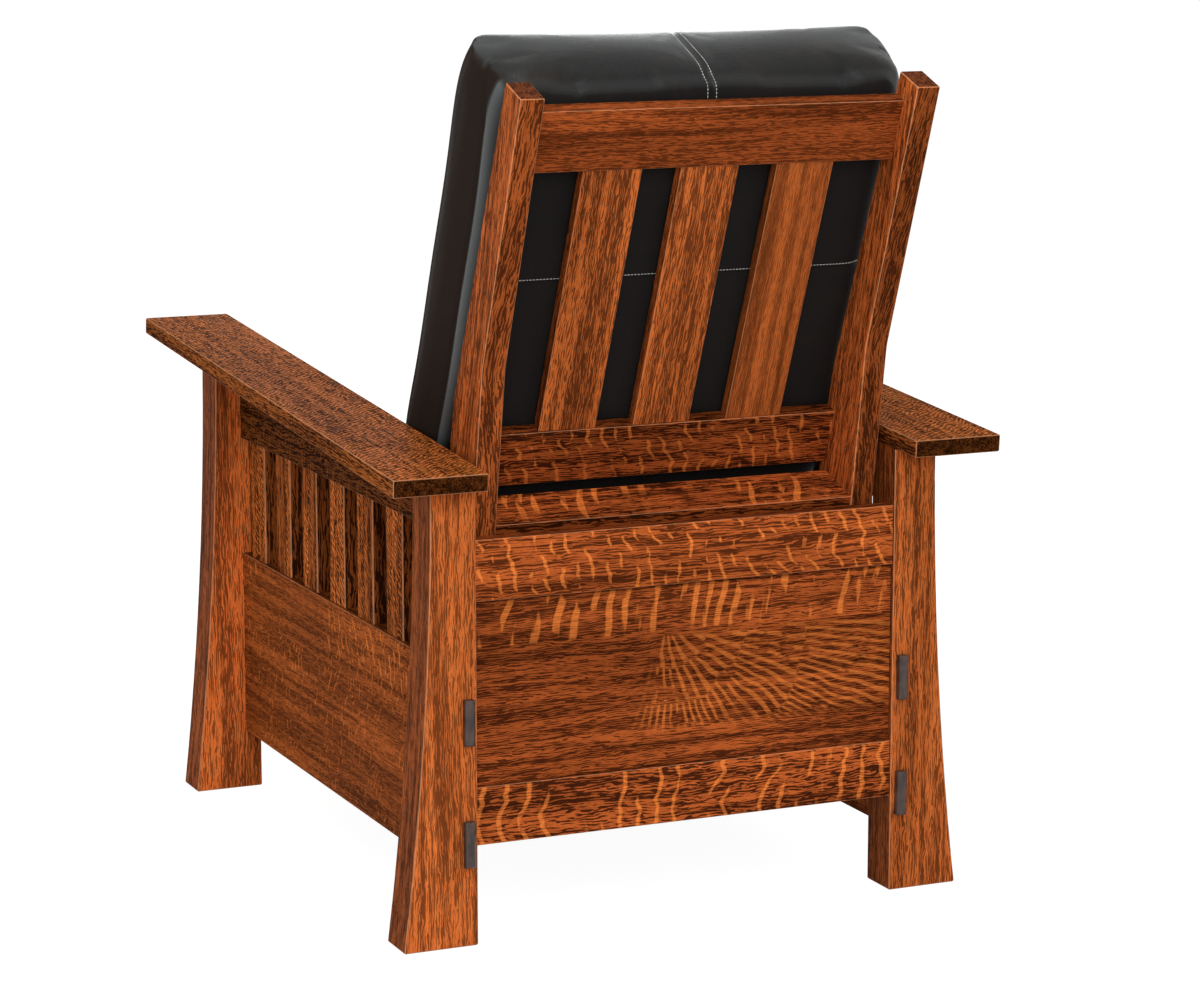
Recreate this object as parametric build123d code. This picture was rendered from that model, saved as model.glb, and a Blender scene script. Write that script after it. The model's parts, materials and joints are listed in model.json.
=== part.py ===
from build123d import *
from math import cos, radians, sin, sqrt, tan
import os

# Mission reclining armchair in quarter-sawn oak with black leather cushions.
# The chair faces -Y, its sitter's left is +X, and it stands on Z = 0.
# Lengths are in millimetres and angles in degrees.

# Side frames: flared legs, wide boards, slats, aprons and arms
inner_half_width = 274.4
leg_top_width = 56.6
leg_flare = 37.0
leg_depth = 57.6
leg_spacing = 794.3
arm_inset = 2.6
arm_width = 116.6
arm_thickness = 21.6
arm_rear_overhang = 47.2
arm_front_overhang = 51.3
arm_rear_height = 572.5
arm_slope = 4.24
edge_radius = 2.5
small_radius = 1.5
side_board_thickness = 20.0
side_board_bottom = 79.6
side_board_height = 249.1
side_board_inset = 2.0
apron_rear_width = 71.8
slat_count = 7
slat_width = 55.0
slat_end_gap = 31.7
slat_thickness = 19.0
slat_setback = 3.6
tenon_length = 12.0
tenon_shoulder = 5.0
tenon_gap = 1.0

# Dark keys let into the legs in line with the side boards
key_width = 12.4
key_height = 55.0
key_depth = 7.0
key_proud = 10.6
key_chamfer = 2.2
key_lower_height = 125.0
key_upper_height = 271.5

# Back of the base and the stretcher under the seat
rail_setback = 3.4
rail_thickness = 22.0
top_rail_step = 1.2
top_rail_height = 73.2
bottom_rail_bottom = 120.2
bottom_rail_height = 70.4
panel_recess = 4.0
panel_thickness = 11.0
panel_groove = 8.0
stretcher_bottom = 95.0
stretcher_height = 60.0
stretcher_thickness = 22.0
stretcher_gap = 15.0

# Steel linkage: plates, links and rivets lie in layers one pitch apart
plate_thickness = 3.0
layer_pitch = 6.0
link_width = 22.0
rivet_radius = 4.0
rivet_head_radius = 8.0
rivet_head_height = 1.6
pivot_clearance = 0.08
face_clearance = 0.2
cleat_drop = 46.0
cleat_height = 74.0
cleat_margin = 55.0
base_plate_height = 44.0
swing_length = 110.0
swing_rest_angle = 8.0
swing_pivot_drop = 26.0
front_swing_gap = 194.0
rear_swing_gap = 232.7
seat_plate_top = 322.0
seat_plate_depth = 52.0
seat_flange_width = 32.0
lug_width = 30.0

# Footrest linkage, all of it parallelograms
footrest_pivot_spacing = 70.0
footrest_pivot_rise = 30.0
footrest_link_length = 205.0
footrest_link_rest_angle = 110.0
carrier_length = 160.0
control_offset = 50.0
footrest_side_clearance = 21.4
footrest_board_height = 212.0
footrest_board_thickness = 19.0
footrest_board_gap = 5.0
footrest_pad_thickness = 44.0
footrest_pad_crown = 6.0
footrest_flange_width = 24.0
footrest_flange_height = 150.0
cross_tube_radius = 9.0
cross_tube_wall = 1.6

# Seat
seat_rail_height = 25.0
seat_rail_width = 55.0
seat_frame_setback = 14.0
seat_frame_rear_margin = 26.0
strap_count = 5
strap_width = 50.0
strap_thickness = 2.0
seat_cushion_clearance = 14.4
seat_cushion_thickness = 112.0
seat_cushion_crown = 12.0
seat_cushion_rear_gap = 12.0
cushion_gap = 0.3
back_cushion_gap = 1.0

# Back frame: bent tapering posts that lean on the hinge brackets
post_clearance = 10.2
post_width = 30.0
post_foot_rise = 36.0
post_knee_rise = 250.0
post_knee_offset = 5.0
post_top_rise = 318.0
post_lower_lean = 9.4
post_upper_lean = 20.5
post_top_depth = 47.0
post_front_knee_drop = 40.0
post_front_knee_depth = 86.6
post_front_lower_lean = 14.0
back_plane_lean = 22.7
back_plane_inset = 1.0
back_rail_thickness = 20.0
back_top_rail_height = 77.0
back_top_rail_drop = 26.0
back_lower_rail_height = 72.0
back_lower_rail_rise = 168.0
bottom_board_thickness = 20.0
bottom_board_gap = 17.7
bottom_board_slope = 18.0
bottom_board_depth = 72.0
back_slat_count = 3
back_slat_width = 74.0
back_slat_pitch = 123.0
back_slat_thickness = 15.0
hinge_rise = 74.0
bracket_width = 44.0
bracket_clearance = 2.0

# Back cushion
back_cushion_clearance = 10.4
back_cushion_thickness = 164.0
back_cushion_rise = 82.3
back_cushion_crown = 14.0
back_cushion_front_corner = 32.0
back_cushion_rear_corner = 50.0
channel_depth = 5.0

# Screws
screw_radius = 2.4
screw_head_radius = 5.2
screw_head_height = 1.8
screw_length = 18.0
screw_edge = 28.0
overrun = 40.0

# Shares of a cushion's length, width and thickness at its sections, end to end
cushion_length_shares = (0.0, 0.05, 0.2, 0.5, 0.8, 0.95, 1.0)
cushion_width_shares = (0.93, 0.985, 0.996, 0.99, 0.996, 0.985, 0.93)
cushion_thick_shares = (0.62, 0.88, 0.98, 1.0, 0.98, 0.88, 0.62)
corner_bow_share = 0.29
side_bulge_share = 0.17
seat_corner_share = 0.72
pad_corner_share = 0.25

# Places that follow from the sizes above
arm_tilt = tan(radians(arm_slope))
board_inner = inner_half_width + side_board_inset
board_outer = board_inner + side_board_thickness
slat_outer = board_outer - slat_setback
slat_inner = slat_outer - slat_thickness
side_board_top = side_board_bottom + side_board_height
post_outer = inner_half_width - post_clearance
post_inner = post_outer - post_width
bottom_rail_top = bottom_rail_bottom + bottom_rail_height
footrest_board_width = 2 * (inner_half_width - footrest_side_clearance)
seat_cushion_width = 2 * (inner_half_width - seat_cushion_clearance)
back_cushion_width = 2 * (inner_half_width - back_cushion_clearance)

# Heights of the mechanism and the back, stacked on the seat plates
footrest_board_bottom = seat_plate_top - footrest_board_gap - footrest_board_height
swing_pivot_height = seat_plate_top - swing_pivot_drop
cleat_bottom = swing_pivot_height - cleat_drop
hinge_height = seat_plate_top + hinge_rise
seat_cushion_bottom = seat_plate_top + seat_rail_height + strap_thickness + cushion_gap
back_cushion_bottom = seat_cushion_bottom + seat_cushion_thickness
post_foot_height = hinge_height + post_foot_rise
post_knee_height = post_foot_height + post_knee_rise
post_front_knee_height = post_knee_height - post_front_knee_drop
post_top_height = post_knee_height + post_top_rise
back_lower_rail_top = post_foot_height + back_lower_rail_rise
back_lower_rail_bottom = back_lower_rail_top - back_lower_rail_height * cos(radians(back_plane_lean))
bottom_board_front_height = back_lower_rail_bottom - bottom_board_gap
bottom_board_rear_height = bottom_board_front_height - bottom_board_depth * sin(radians(bottom_board_slope))
back_cushion_top = post_top_height + back_cushion_rise

# Places along the chair, with the rounded arm ends and post tops equally far from Y = 0
post_top_offset = post_top_rise * tan(radians(post_upper_lean)) - post_knee_offset


def corner_loss(angle):
    """How far rounding draws a tilted square corner back from its sharp reach."""
    return edge_radius * (cos(radians(angle)) + sin(radians(angle)) - 1)


rear_reach = post_top_offset - corner_loss(post_upper_lean)
arm_end_lean = arm_thickness * sin(radians(arm_slope)) - corner_loss(arm_slope)
front_reach = arm_front_overhang + leg_depth + leg_spacing + arm_end_lean
rear_face = (front_reach - rear_reach) / 2
front_leg_rear = rear_face - leg_spacing
front_face = front_leg_rear - leg_depth
arm_rear = rear_face + arm_rear_overhang
arm_front = front_face - arm_front_overhang

front_swing_place = front_leg_rear + front_swing_gap
rear_swing_place = rear_face - leg_depth - rear_swing_gap

# Layers of the linkage, from the back post inwards
bracket_inner = post_inner - plate_thickness
seat_layer = bracket_inner - plate_thickness - face_clearance - pivot_clearance
swing_layer = seat_layer + layer_pitch
base_layer = swing_layer + layer_pitch
link_layer = seat_layer - layer_pitch
carrier_layer = link_layer - layer_pitch
footrest_layer = carrier_layer - layer_pitch


def arm_underside(y):
    """Height of the arm's underside at a place along the chair."""
    return arm_rear_height - arm_thickness / cos(radians(arm_slope)) + (arm_rear - y) * arm_tilt


apron_bottom = arm_underside(rear_face - leg_depth) - apron_rear_width
top_rail_bottom = apron_bottom - top_rail_step - top_rail_height


def board(x, y, z):
    """Straight board between pairs of faces along X, Y and Z."""
    corner = Pos(min(x), min(y), min(z))
    return corner * Box(max(x) - min(x), max(y) - min(y), max(z) - min(z), align=(Align.MIN,) * 3)


def softened(solid, radius=edge_radius):
    """The solid with every edge rounded over."""
    return fillet(solid.edges(), radius)


def mirrored(solid):
    """The same piece for the other side of the chair."""
    return mirror(solid, about=Plane.YZ)


def side_profile(points, x, thickness):
    """Plate cut to a Y-Z outline, from x towards +X."""
    face = make_face(Polyline(*points, close=True))
    return extrude(Plane.YZ.offset(x) * face, amount=thickness)


def save(name, *solids):
    """Write one node."""
    shape = solids[0] if len(solids) == 1 else Compound(children=list(solids))
    export_step(shape, f"parts/{name}.step")


def save_pair(name, solid):
    """Write the left piece and its mirror image as two nodes."""
    save(f"{name}_left", solid)
    save(f"{name}_right", mirrored(solid))


def grown(box_faces, growth):
    """Faces of a mortise: the tenon's faces moved out along X by a gap."""
    x, y, z = box_faces
    return (min(x) - growth, max(x) + growth), y, z


# Tenons of the rails and boards, as face pairs that the mortises share
def rail_tenon(bottom, height, depth_faces):
    """Tenon of a rail that runs along X into the rear leg."""
    rear = min(depth_faces) + tenon_shoulder, max(depth_faces) - tenon_shoulder
    return (
        (inner_half_width, inner_half_width + tenon_length),
        rear,
        (bottom + tenon_shoulder, bottom + height - tenon_shoulder),
    )


rail_faces = (rear_face - rail_setback - rail_thickness, rear_face - rail_setback)
top_rail_tenon = rail_tenon(top_rail_bottom, top_rail_height, rail_faces)
bottom_rail_tenon = rail_tenon(bottom_rail_bottom, bottom_rail_height, rail_faces)


def side_tenon(leg_face, direction, outer, thickness, bottom, top):
    """Tenon of a side piece that runs along Y into a leg."""
    return (
        (outer - thickness + tenon_shoulder, outer - tenon_shoulder),
        (leg_face, leg_face + direction * tenon_length),
        (bottom + tenon_shoulder, top - tenon_shoulder),
    )


def mortise(faces, direction):
    """Tenon's faces with a gap left at the tenon's end along Y."""
    x, y, z = faces
    return x, (y[0], y[1] + direction * tenon_gap), z


def board_tenons():
    """Front and rear tenons of a side board."""
    ends = (front_leg_rear, -1), (rear_face - leg_depth, 1)
    size = board_outer, side_board_thickness, side_board_bottom, side_board_top
    return [side_tenon(y, direction, *size) for y, direction in ends]


def key_solid(face_y, direction, height):
    """Dark key with a chamfered end, let into a leg's outer end face."""
    centre = (board_outer + board_inner) / 2
    faces = (
        (centre - key_width / 2, centre + key_width / 2),
        (face_y - direction * key_depth, face_y + direction * key_proud),
        (height - key_height / 2, height + key_height / 2),
    )
    key = board(*faces)
    end = key.faces().filter_by(Axis.Y).sort_by(Axis.Y)[-1 if direction > 0 else 0]
    return chamfer(end.edges(), key_chamfer), board(*faces)


def key_places():
    """End face and direction of each key on one side of the chair."""
    ends = (rear_face, 1), (front_face, -1)
    return [(y, direction, z) for y, direction in ends for z in (key_lower_height, key_upper_height)]


# Legs: straight inside, flaring out to the floor on an arc outside
def leg(rear_y):
    """Left leg whose rear face is at rear_y, with its top cut to the arm's slope."""
    top = arm_underside(rear_y - leg_depth)
    outer = inner_half_width + leg_top_width
    flare = TangentArc((outer, top), (outer + leg_flare, 0), tangent=(0, -1))
    sides = Polyline((outer + leg_flare, 0), (inner_half_width, 0), (inner_half_width, top), (outer, top))
    blank = extrude(Plane.XZ.offset(-rear_y) * make_face(flare + sides), amount=leg_depth)
    front_y = rear_y - leg_depth
    slope = [
        (front_y - overrun, 0),
        (rear_y + overrun, 0),
        (rear_y + overrun, arm_underside(rear_y + overrun)),
        (front_y - overrun, arm_underside(front_y - overrun)),
    ]
    blank = blank & side_profile(slope, 0, outer + leg_flare + overrun)
    return blank


def finished_leg(rear_y):
    """Leg with rounded arrises, mortises and key sockets."""
    solid = leg(rear_y)
    uprights = [e for e in solid.edges() if abs(e.bounding_box().size.Z) > leg_depth + leg_flare]
    solid = fillet(uprights, edge_radius)
    solid = chamfer(solid.faces().sort_by(Axis.Z)[0].edges(), small_radius)
    front = rear_y < rear_face - leg_depth
    direction = -1 if front else 1
    side = 0 if front else 1
    solid -= board(*mortise(board_tenons()[side], direction))
    solid -= board(*mortise(apron_tenons()[side], direction))
    for face_y, key_direction, height in key_places():
        if key_direction == direction:
            solid -= key_solid(face_y, key_direction, height)[1]
    if not front:
        solid -= board(*grown(top_rail_tenon, tenon_gap))
        solid -= board(*grown(bottom_rail_tenon, tenon_gap))
    return solid


# Aprons, slats and boards between the legs
def apron_tenons():
    """Front and rear tenons of the apron under an arm."""
    tenon_top = arm_underside(rear_face) - tenon_shoulder
    ends = (front_leg_rear, -1), (rear_face - leg_depth, 1)
    return [side_tenon(y, d, board_outer, side_board_thickness, apron_bottom, tenon_top) for y, d in ends]


def slat_places():
    """Front edge of each side slat."""
    first = front_leg_rear + slat_end_gap
    clear = leg_spacing - leg_depth - 2 * slat_end_gap - slat_width
    return [first + i * clear / (slat_count - 1) for i in range(slat_count)]


def slat_tenon(y, base, direction):
    """Tenon of a side slat into the board below or the apron above."""
    return (
        (slat_inner + tenon_shoulder, slat_outer - tenon_shoulder),
        (y + tenon_shoulder, y + slat_width - tenon_shoulder),
        (base, base + direction * tenon_length),
    )


def slat_sockets(solid, base, direction):
    """The solid with a mortise for every slat."""
    for y in slat_places():
        x, depth, z = slat_tenon(y, base, direction)
        solid -= board(x, depth, (z[0], z[1] + direction * tenon_gap))
    return solid


def apron():
    """Left apron, level below and sloping above."""
    y0, y1 = front_leg_rear, rear_face - leg_depth
    points = [(y0, apron_bottom), (y1, apron_bottom), (y1, arm_underside(y1)), (y0, arm_underside(y0))]
    solid = side_profile(points, board_inner, side_board_thickness)
    lower = solid.faces().sort_by(Axis.Z)[0].edges().filter_by(Axis.Y)
    solid = fillet(lower, small_radius)
    for tenon in apron_tenons():
        solid += board(*tenon)
    return slat_sockets(solid, apron_bottom, 1)


def side_board():
    """Left wide board below the slats."""
    y0, y1 = front_leg_rear, rear_face - leg_depth
    solid = board((board_inner, board_outer), (y0, y1), (side_board_bottom, side_board_top))
    solid = fillet(solid.edges().filter_by(Axis.Y), small_radius)
    for tenon in board_tenons():
        solid += board(*tenon)
    solid -= board(*stretcher_socket())
    return slat_sockets(solid, side_board_top, -1)


def side_slat(y):
    """One slat of the left side."""
    solid = board((slat_inner, slat_outer), (y, y + slat_width), (side_board_top, apron_bottom))
    solid = chamfer(solid.edges().filter_by(Axis.Z), small_radius)
    solid += board(*slat_tenon(y, side_board_top, -1))
    solid += board(*slat_tenon(y, apron_bottom, 1))
    return solid


# Arms: broad boards that slope down towards the back
def arm():
    """Left arm with rounded arrises."""
    length = (arm_rear - arm_front) / cos(radians(arm_slope))
    along = Vector(-cos(radians(arm_slope)), sin(radians(arm_slope)))
    across = Vector(along.Y, -along.X)
    rear_top = Vector(arm_rear, arm_rear_height)
    front_top = rear_top + along * length
    corners = [rear_top, front_top, front_top - across * arm_thickness, rear_top - across * arm_thickness]
    inner = inner_half_width + arm_inset
    return softened(side_profile([(c.X, c.Y) for c in corners], inner, arm_width))


# Rear of the base
def base_rail(bottom, height, tenon, groove_at):
    """Rail between the rear legs, grooved for the panel."""
    solid = board((-inner_half_width, inner_half_width), rail_faces, (bottom, bottom + height))
    solid = fillet(solid.edges().filter_by(Axis.X), small_radius)
    x, y, z = tenon
    solid += board(x, y, z)
    solid += board((-x[0], -x[1]), y, z)
    groove = (groove_at - panel_groove - tenon_gap, groove_at + panel_groove + tenon_gap)
    return solid - board((-inner_half_width, inner_half_width), panel_faces, groove)


panel_rear = rear_face - rail_setback - panel_recess
panel_faces = (panel_rear - panel_thickness, panel_rear)


def base_panel():
    """Recessed panel held in the rails' grooves."""
    heights = (bottom_rail_top - panel_groove, top_rail_bottom + panel_groove)
    return board((-inner_half_width, inner_half_width), panel_faces, heights)


# Stretcher under the seat, behind the folded footrest linkage
def stretcher_faces():
    """Rear and front faces of the stretcher."""
    front = footrest_pivots()["rear_link_end"][0] + link_width / 2 + stretcher_gap
    return front, front + stretcher_thickness


def stretcher_socket():
    """Mortise of the stretcher in a side board."""
    front, rear = stretcher_faces()
    return (
        (board_inner, board_inner + tenon_length + tenon_gap),
        (front + tenon_shoulder, rear - tenon_shoulder),
        (stretcher_bottom + tenon_shoulder, stretcher_bottom + stretcher_height - tenon_shoulder),
    )


def stretcher():
    """Stretcher tenoned into both side boards."""
    front, rear = stretcher_faces()
    height = (stretcher_bottom, stretcher_bottom + stretcher_height)
    solid = board((-board_inner, board_inner), (front, rear), height)
    solid = fillet(solid.edges().filter_by(Axis.X), small_radius)
    _, y, z = stretcher_socket()
    reach = board_inner + tenon_length
    return solid + board((-reach, reach), y, z)


# Places of the linkage's pivots, as points along Y and Z
def turned(origin, length, angle):
    """Point at a length from the origin; angle 0 points to the front and 90 up."""
    return origin[0] - length * cos(radians(angle)), origin[1] + length * sin(radians(angle))


def footrest_pivots():
    """Pivots of the folded footrest linkage."""
    pad_front = front_face
    board_rear = pad_front + footrest_pad_thickness + footrest_pad_crown + footrest_board_thickness
    bracket_front = board_rear + plate_thickness
    hang = -footrest_link_rest_angle
    reach = footrest_link_length * cos(radians(hang)) + carrier_length * cos(radians(footrest_pivot_rise))
    headroom = plate_thickness + tenon_gap + link_width / 2
    drop = headroom + footrest_pivot_spacing * sin(radians(footrest_pivot_rise))
    a = (bracket_front + link_width / 2 + tenon_gap + reach, seat_plate_top - drop)
    b = turned(a, footrest_pivot_spacing, footrest_pivot_rise)
    c = turned(a, footrest_link_length, hang)
    d = turned(b, footrest_link_length, hang)
    g = turned(d, control_offset, hang)
    e = turned(c, carrier_length, footrest_pivot_rise)
    f = turned(e, control_offset, hang)
    return {
        "rear_link": a,
        "front_link": b,
        "rear_link_end": c,
        "carrier": d,
        "control": g,
        "bracket": e,
        "bracket_end": f,
        "board_rear": (board_rear, footrest_board_bottom),
    }


def swing_pivots(place):
    """Upper and lower pivots of a swing link at rest."""
    upper = (place, swing_pivot_height)
    return upper, turned(upper, swing_length, -90 - swing_rest_angle)


def hinge_pivot():
    """Back hinge, under the middle of the post's foot."""
    outline = post_outline()
    return (outline[0][0] + outline[-1][0]) / 2, hinge_height


# Flat steel shapes in the Y-Z plane
def disc(point, radius):
    """Round of a plate or a hole about a pivot."""
    return Pos(*point) * Circle(radius)


def strip(start, end, width):
    """Bar with round ends about two pivots."""
    run = Vector(*end) - Vector(*start)
    side = Vector(-run.Y, run.X).normalized() * (width / 2)
    corners = [Vector(*start) + side, Vector(*end) + side, Vector(*end) - side, Vector(*start) - side]
    middle = make_face(Polyline(*[(c.X, c.Y) for c in corners], close=True))
    return middle + disc(start, width / 2) + disc(end, width / 2)


def plate(sketch, layer, holes=(), radius=rivet_radius + pivot_clearance):
    """Steel plate in a layer, bored at its pivots."""
    for hole in holes:
        sketch -= disc(hole, radius)
    return extrude(Plane.YZ.offset(layer) * sketch, amount=plate_thickness)


def along_x(point, radius, x0, x1):
    """Round bar along X between two places."""
    return extrude(Plane.YZ.offset(x0) * disc(point, radius), amount=x1 - x0)


def rivet(point, inner_layer, outer_layer):
    """Rivet with a head on each side of two plates and a shoulder between them."""
    inner_face = inner_layer - face_clearance
    outer_face = outer_layer + plate_thickness + face_clearance
    solid = along_x(point, rivet_radius, inner_face, outer_face)
    solid += along_x(point, rivet_head_radius, inner_face - rivet_head_height, inner_face)
    solid += along_x(point, rivet_head_radius, outer_face, outer_face + rivet_head_height)
    shoulder = inner_layer + plate_thickness + face_clearance, outer_layer - face_clearance
    if shoulder[1] - shoulder[0] > plate_thickness / 2:
        solid += along_x(point, rivet_head_radius, *shoulder)
    return solid


def wood_screw(point, head_face, direction):
    """Round-headed screw along X, its head on head_face and its shank in wood."""
    tip = head_face + direction * screw_length
    head = head_face - direction * screw_head_height
    shank = along_x(point, screw_radius, min(head_face, tip), max(head_face, tip))
    return shank + along_x(point, screw_head_radius, min(head_face, head), max(head_face, head))


# Base plates on wooden cleats
def cleat_ends():
    """Front and rear ends of the cleat."""
    front = swing_pivots(front_swing_place)[0][0] - cleat_margin
    return front, swing_pivots(rear_swing_place)[0][0] + cleat_margin


def base_screw_places():
    """Screws of a base plate."""
    y0, y1 = cleat_ends()
    middle = (y0 + y1) / 2
    spread = base_plate_height / 2 - screw_head_radius - small_radius
    low, high = swing_pivot_height - spread, swing_pivot_height + spread
    low_places = [(y0 + screw_edge, low), (middle + cleat_margin, low)]
    return low_places + [(middle - cleat_margin, high), (y1 - screw_edge, high)]


def screw_hole(point, start, end):
    """Hole for a screw's shank."""
    return along_x(point, screw_radius + pivot_clearance, start, end)


def cleat():
    """Left cleat that holds the base plate clear of the side board."""
    face = base_layer + plate_thickness
    solid = board((face, board_inner), cleat_ends(), (cleat_bottom, cleat_bottom + cleat_height))
    for upper in (swing_pivots(front_swing_place)[0], swing_pivots(rear_swing_place)[0]):
        reach = face + face_clearance + rivet_head_height + tenon_gap
        solid -= along_x(upper, rivet_head_radius + tenon_gap, face, reach)
    for place in base_screw_places():
        solid -= screw_hole(place, face, face + screw_length)
    return solid


def base_plate():
    """Left steel plate that carries the swing links."""
    y0, y1 = cleat_ends()
    half = base_plate_height / 2
    sketch = strip((y0 + half, swing_pivot_height), (y1 - half, swing_pivot_height), base_plate_height)
    uppers = [swing_pivots(front_swing_place)[0], swing_pivots(rear_swing_place)[0]]
    solid = plate(sketch, base_layer, uppers)
    for place in base_screw_places():
        solid -= screw_hole(place, base_layer, base_layer + plate_thickness)
    return solid


# Seat plates: a flanged bar with lugs down to the swing links and an ear up to the back hinge
def seat_plate():
    """Left seat plate."""
    pivots = footrest_pivots()
    hinge = hinge_pivot()
    lowers = [swing_pivots(front_swing_place)[1], swing_pivots(rear_swing_place)[1]]
    front = pivots["front_link"][0] - lug_width / 2
    ear_foot = (seat_frame_rear() - lug_width / 2, seat_plate_top - seat_plate_depth / 2)
    top, bottom = seat_plate_top, seat_plate_top - seat_plate_depth
    rear = seat_frame_rear()
    bar = make_face(Polyline((front, bottom), (rear, bottom), (rear, top), (front, top), close=True))
    sketch = bar + strip(ear_foot, hinge, lug_width) + disc(ear_foot, seat_plate_depth / 2)
    for lower in lowers:
        sketch += strip(lower, (lower[0], seat_plate_top - seat_plate_depth / 2), lug_width)
    sketch += disc(pivots["rear_link"], lug_width / 2)
    holes = [*lowers, hinge, pivots["rear_link"], pivots["front_link"]]
    web = plate(sketch, seat_layer, holes)
    inner = seat_layer + plate_thickness - seat_flange_width
    return web + board((inner, seat_layer), (front, rear), (top - plate_thickness, top))


def seat_frame_front():
    """Front face of the seat frame."""
    return front_face + seat_frame_setback


def seat_frame_rear():
    """Rear face of the seat frame, in front of the posts."""
    return post_outline()[-1][0] - seat_frame_rear_margin


def seat_rails():
    """Four rails of the seat frame, resting on the flanges."""
    half = seat_layer - face_clearance
    z = (seat_plate_top, seat_plate_top + seat_rail_height)
    y0, y1 = seat_frame_front(), seat_frame_rear()
    front = board((-half, half), (y0, y0 + seat_rail_width), z)
    rear = board((-half, half), (y1 - seat_rail_width, y1), z)
    side = board((half - seat_rail_width, half), (y0 + seat_rail_width, y1 - seat_rail_width), z)
    return front, rear, side


def straps():
    """Elastic webbing from the front rail to the rear rail."""
    half = seat_layer - face_clearance - seat_rail_width
    top = seat_plate_top + seat_rail_height
    pitch = 2 * half / strap_count
    centres = [-half + pitch * (i + 1 / 2) for i in range(strap_count)]
    faces = (seat_frame_front(), seat_frame_rear())
    height = (top, top + strap_thickness)
    return [board((x - strap_width / 2, x + strap_width / 2), faces, height) for x in centres]


# Footrest
def footrest_bracket():
    """Left bracket: an angle on the board's back with two pivots."""
    pivots = footrest_pivots()
    rear = pivots["board_rear"][0]
    low = footrest_board_bottom + (footrest_board_height - footrest_flange_height) / 2
    high = low + footrest_flange_height
    e, f = pivots["bracket"], pivots["bracket_end"]
    sketch = strip(e, f, link_width)
    edge = rear + link_width / 2
    sketch += make_face(Polyline((rear, low), (edge, low), (edge, high), (rear, high), close=True))
    sketch += strip(e, (edge, e[1]), link_width)
    ahead, under = rear - overrun, low - overrun
    sketch -= make_face(Polyline((ahead, under), (rear, under), (rear, high), (ahead, high), close=True))
    web = plate(sketch, footrest_layer, [e, f])
    inner = footrest_layer + plate_thickness - footrest_flange_width
    solid = web + board((inner, footrest_layer), (rear, rear + plate_thickness), (low, high))
    for place in footrest_screw_places():
        solid -= screw_along_y(place, rear, rear + plate_thickness, screw_radius + pivot_clearance)
    return solid


def footrest_screw_places():
    """Screws of a footrest bracket, as points along X and Z."""
    x = footrest_layer - (footrest_flange_width - plate_thickness) / 2
    low = footrest_board_bottom + (footrest_board_height - footrest_flange_height) / 2
    return [(x, low + screw_edge), (x, low + footrest_flange_height - screw_edge)]


def screw_along_y(place, y0, y1, radius):
    """Round bar along Y between two places."""
    return extrude(Plane.XZ.offset(-y1) * Pos(*place) * Circle(radius), amount=y1 - y0)


def footrest_screws():
    """Screws from the left bracket into the board."""
    rear = footrest_pivots()["board_rear"][0]
    back = rear + plate_thickness
    solids = []
    for place in footrest_screw_places():
        shank = screw_along_y(place, rear - screw_length / 2, back, screw_radius)
        solids.append(shank + screw_along_y(place, back, back + screw_head_height, screw_head_radius))
    return solids


def footrest_board():
    """Board behind the footrest's pad."""
    rear = footrest_pivots()["board_rear"][0]
    half = footrest_board_width / 2
    heights = (footrest_board_bottom, footrest_board_bottom + footrest_board_height)
    solid = board((-half, half), (rear - footrest_board_thickness, rear), heights)
    solid = chamfer(solid.edges().filter_by(Axis.Y), small_radius)
    for x, z in footrest_screw_places():
        for side in (-1, 1):
            start = rear - screw_length / 2
            solid -= screw_along_y((side * x, z), start, rear, screw_radius + pivot_clearance)
    return solid


def cross_tube():
    """Tube between the left and right rear footrest links."""
    pivots = footrest_pivots()
    a, c = pivots["rear_link"], pivots["rear_link_end"]
    centre = ((a[0] + c[0]) / 2, (a[1] + c[1]) / 2)
    tube = along_x(centre, cross_tube_radius, -link_layer, link_layer)
    return tube - along_x(centre, cross_tube_radius - cross_tube_wall, -link_layer, link_layer)


# Back frame
def post_outline():
    """Y-Z outline of a back post from its rear foot round to its front foot."""
    knee = (rear_face - post_knee_offset, post_knee_height)
    foot = (knee[0] - (post_knee_height - post_foot_height) * tan(radians(post_lower_lean)), post_foot_height)
    top = (rear_face + post_top_offset, post_top_height)
    top_front = turned(top, post_top_depth, post_upper_lean)
    knee_front = (knee[0] - post_front_knee_depth, post_front_knee_height)
    drop = (post_front_knee_height - post_foot_height) * tan(radians(post_front_lower_lean))
    foot_front = (knee_front[0] - drop, post_foot_height)
    return [foot, knee, top, top_front, knee_front, foot_front]


def post():
    """Left back post, bent at the knee and tapering to the top."""
    solid = side_profile(post_outline(), post_inner, post_width)
    low, high = post_foot_height + overrun, post_top_height - post_top_depth
    knees = [e for e in solid.edges().filter_by(Axis.X) if low < e.center().Z < high]
    solid = fillet(knees, post_front_knee_depth)
    rims = [e for e in solid.edges() if e.center().Z > low]
    solid = fillet(rims, edge_radius)
    for tenon in (back_top_tenon(), back_lower_tenon(), bottom_board_tenon()):
        solid -= tenon
    for place in bracket_bolt_places():
        solid -= screw_hole(place, post_inner, post_inner + screw_length)
    return solid


# The rails and slats of the back stand in one leaning plane through the posts' front faces.
# Its places are lengths up the plane from the lower rail's front top edge, and depths behind it.
def plane_origin():
    """Front top edge of the lower rail, as a point along Y and Z."""
    outline = post_outline()
    knee = outline[4]
    run = knee[1] - back_lower_rail_top
    return knee[0] - run * tan(radians(post_front_lower_lean)) + back_plane_inset, back_lower_rail_top


def back_plane():
    """Plane with X across the chair, Y up the lean and Z out to the front."""
    y, z = plane_origin()
    lean = radians(back_plane_lean)
    return Plane(origin=(0, y, z), x_dir=(1, 0, 0), z_dir=(0, -cos(lean), sin(lean)))


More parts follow.
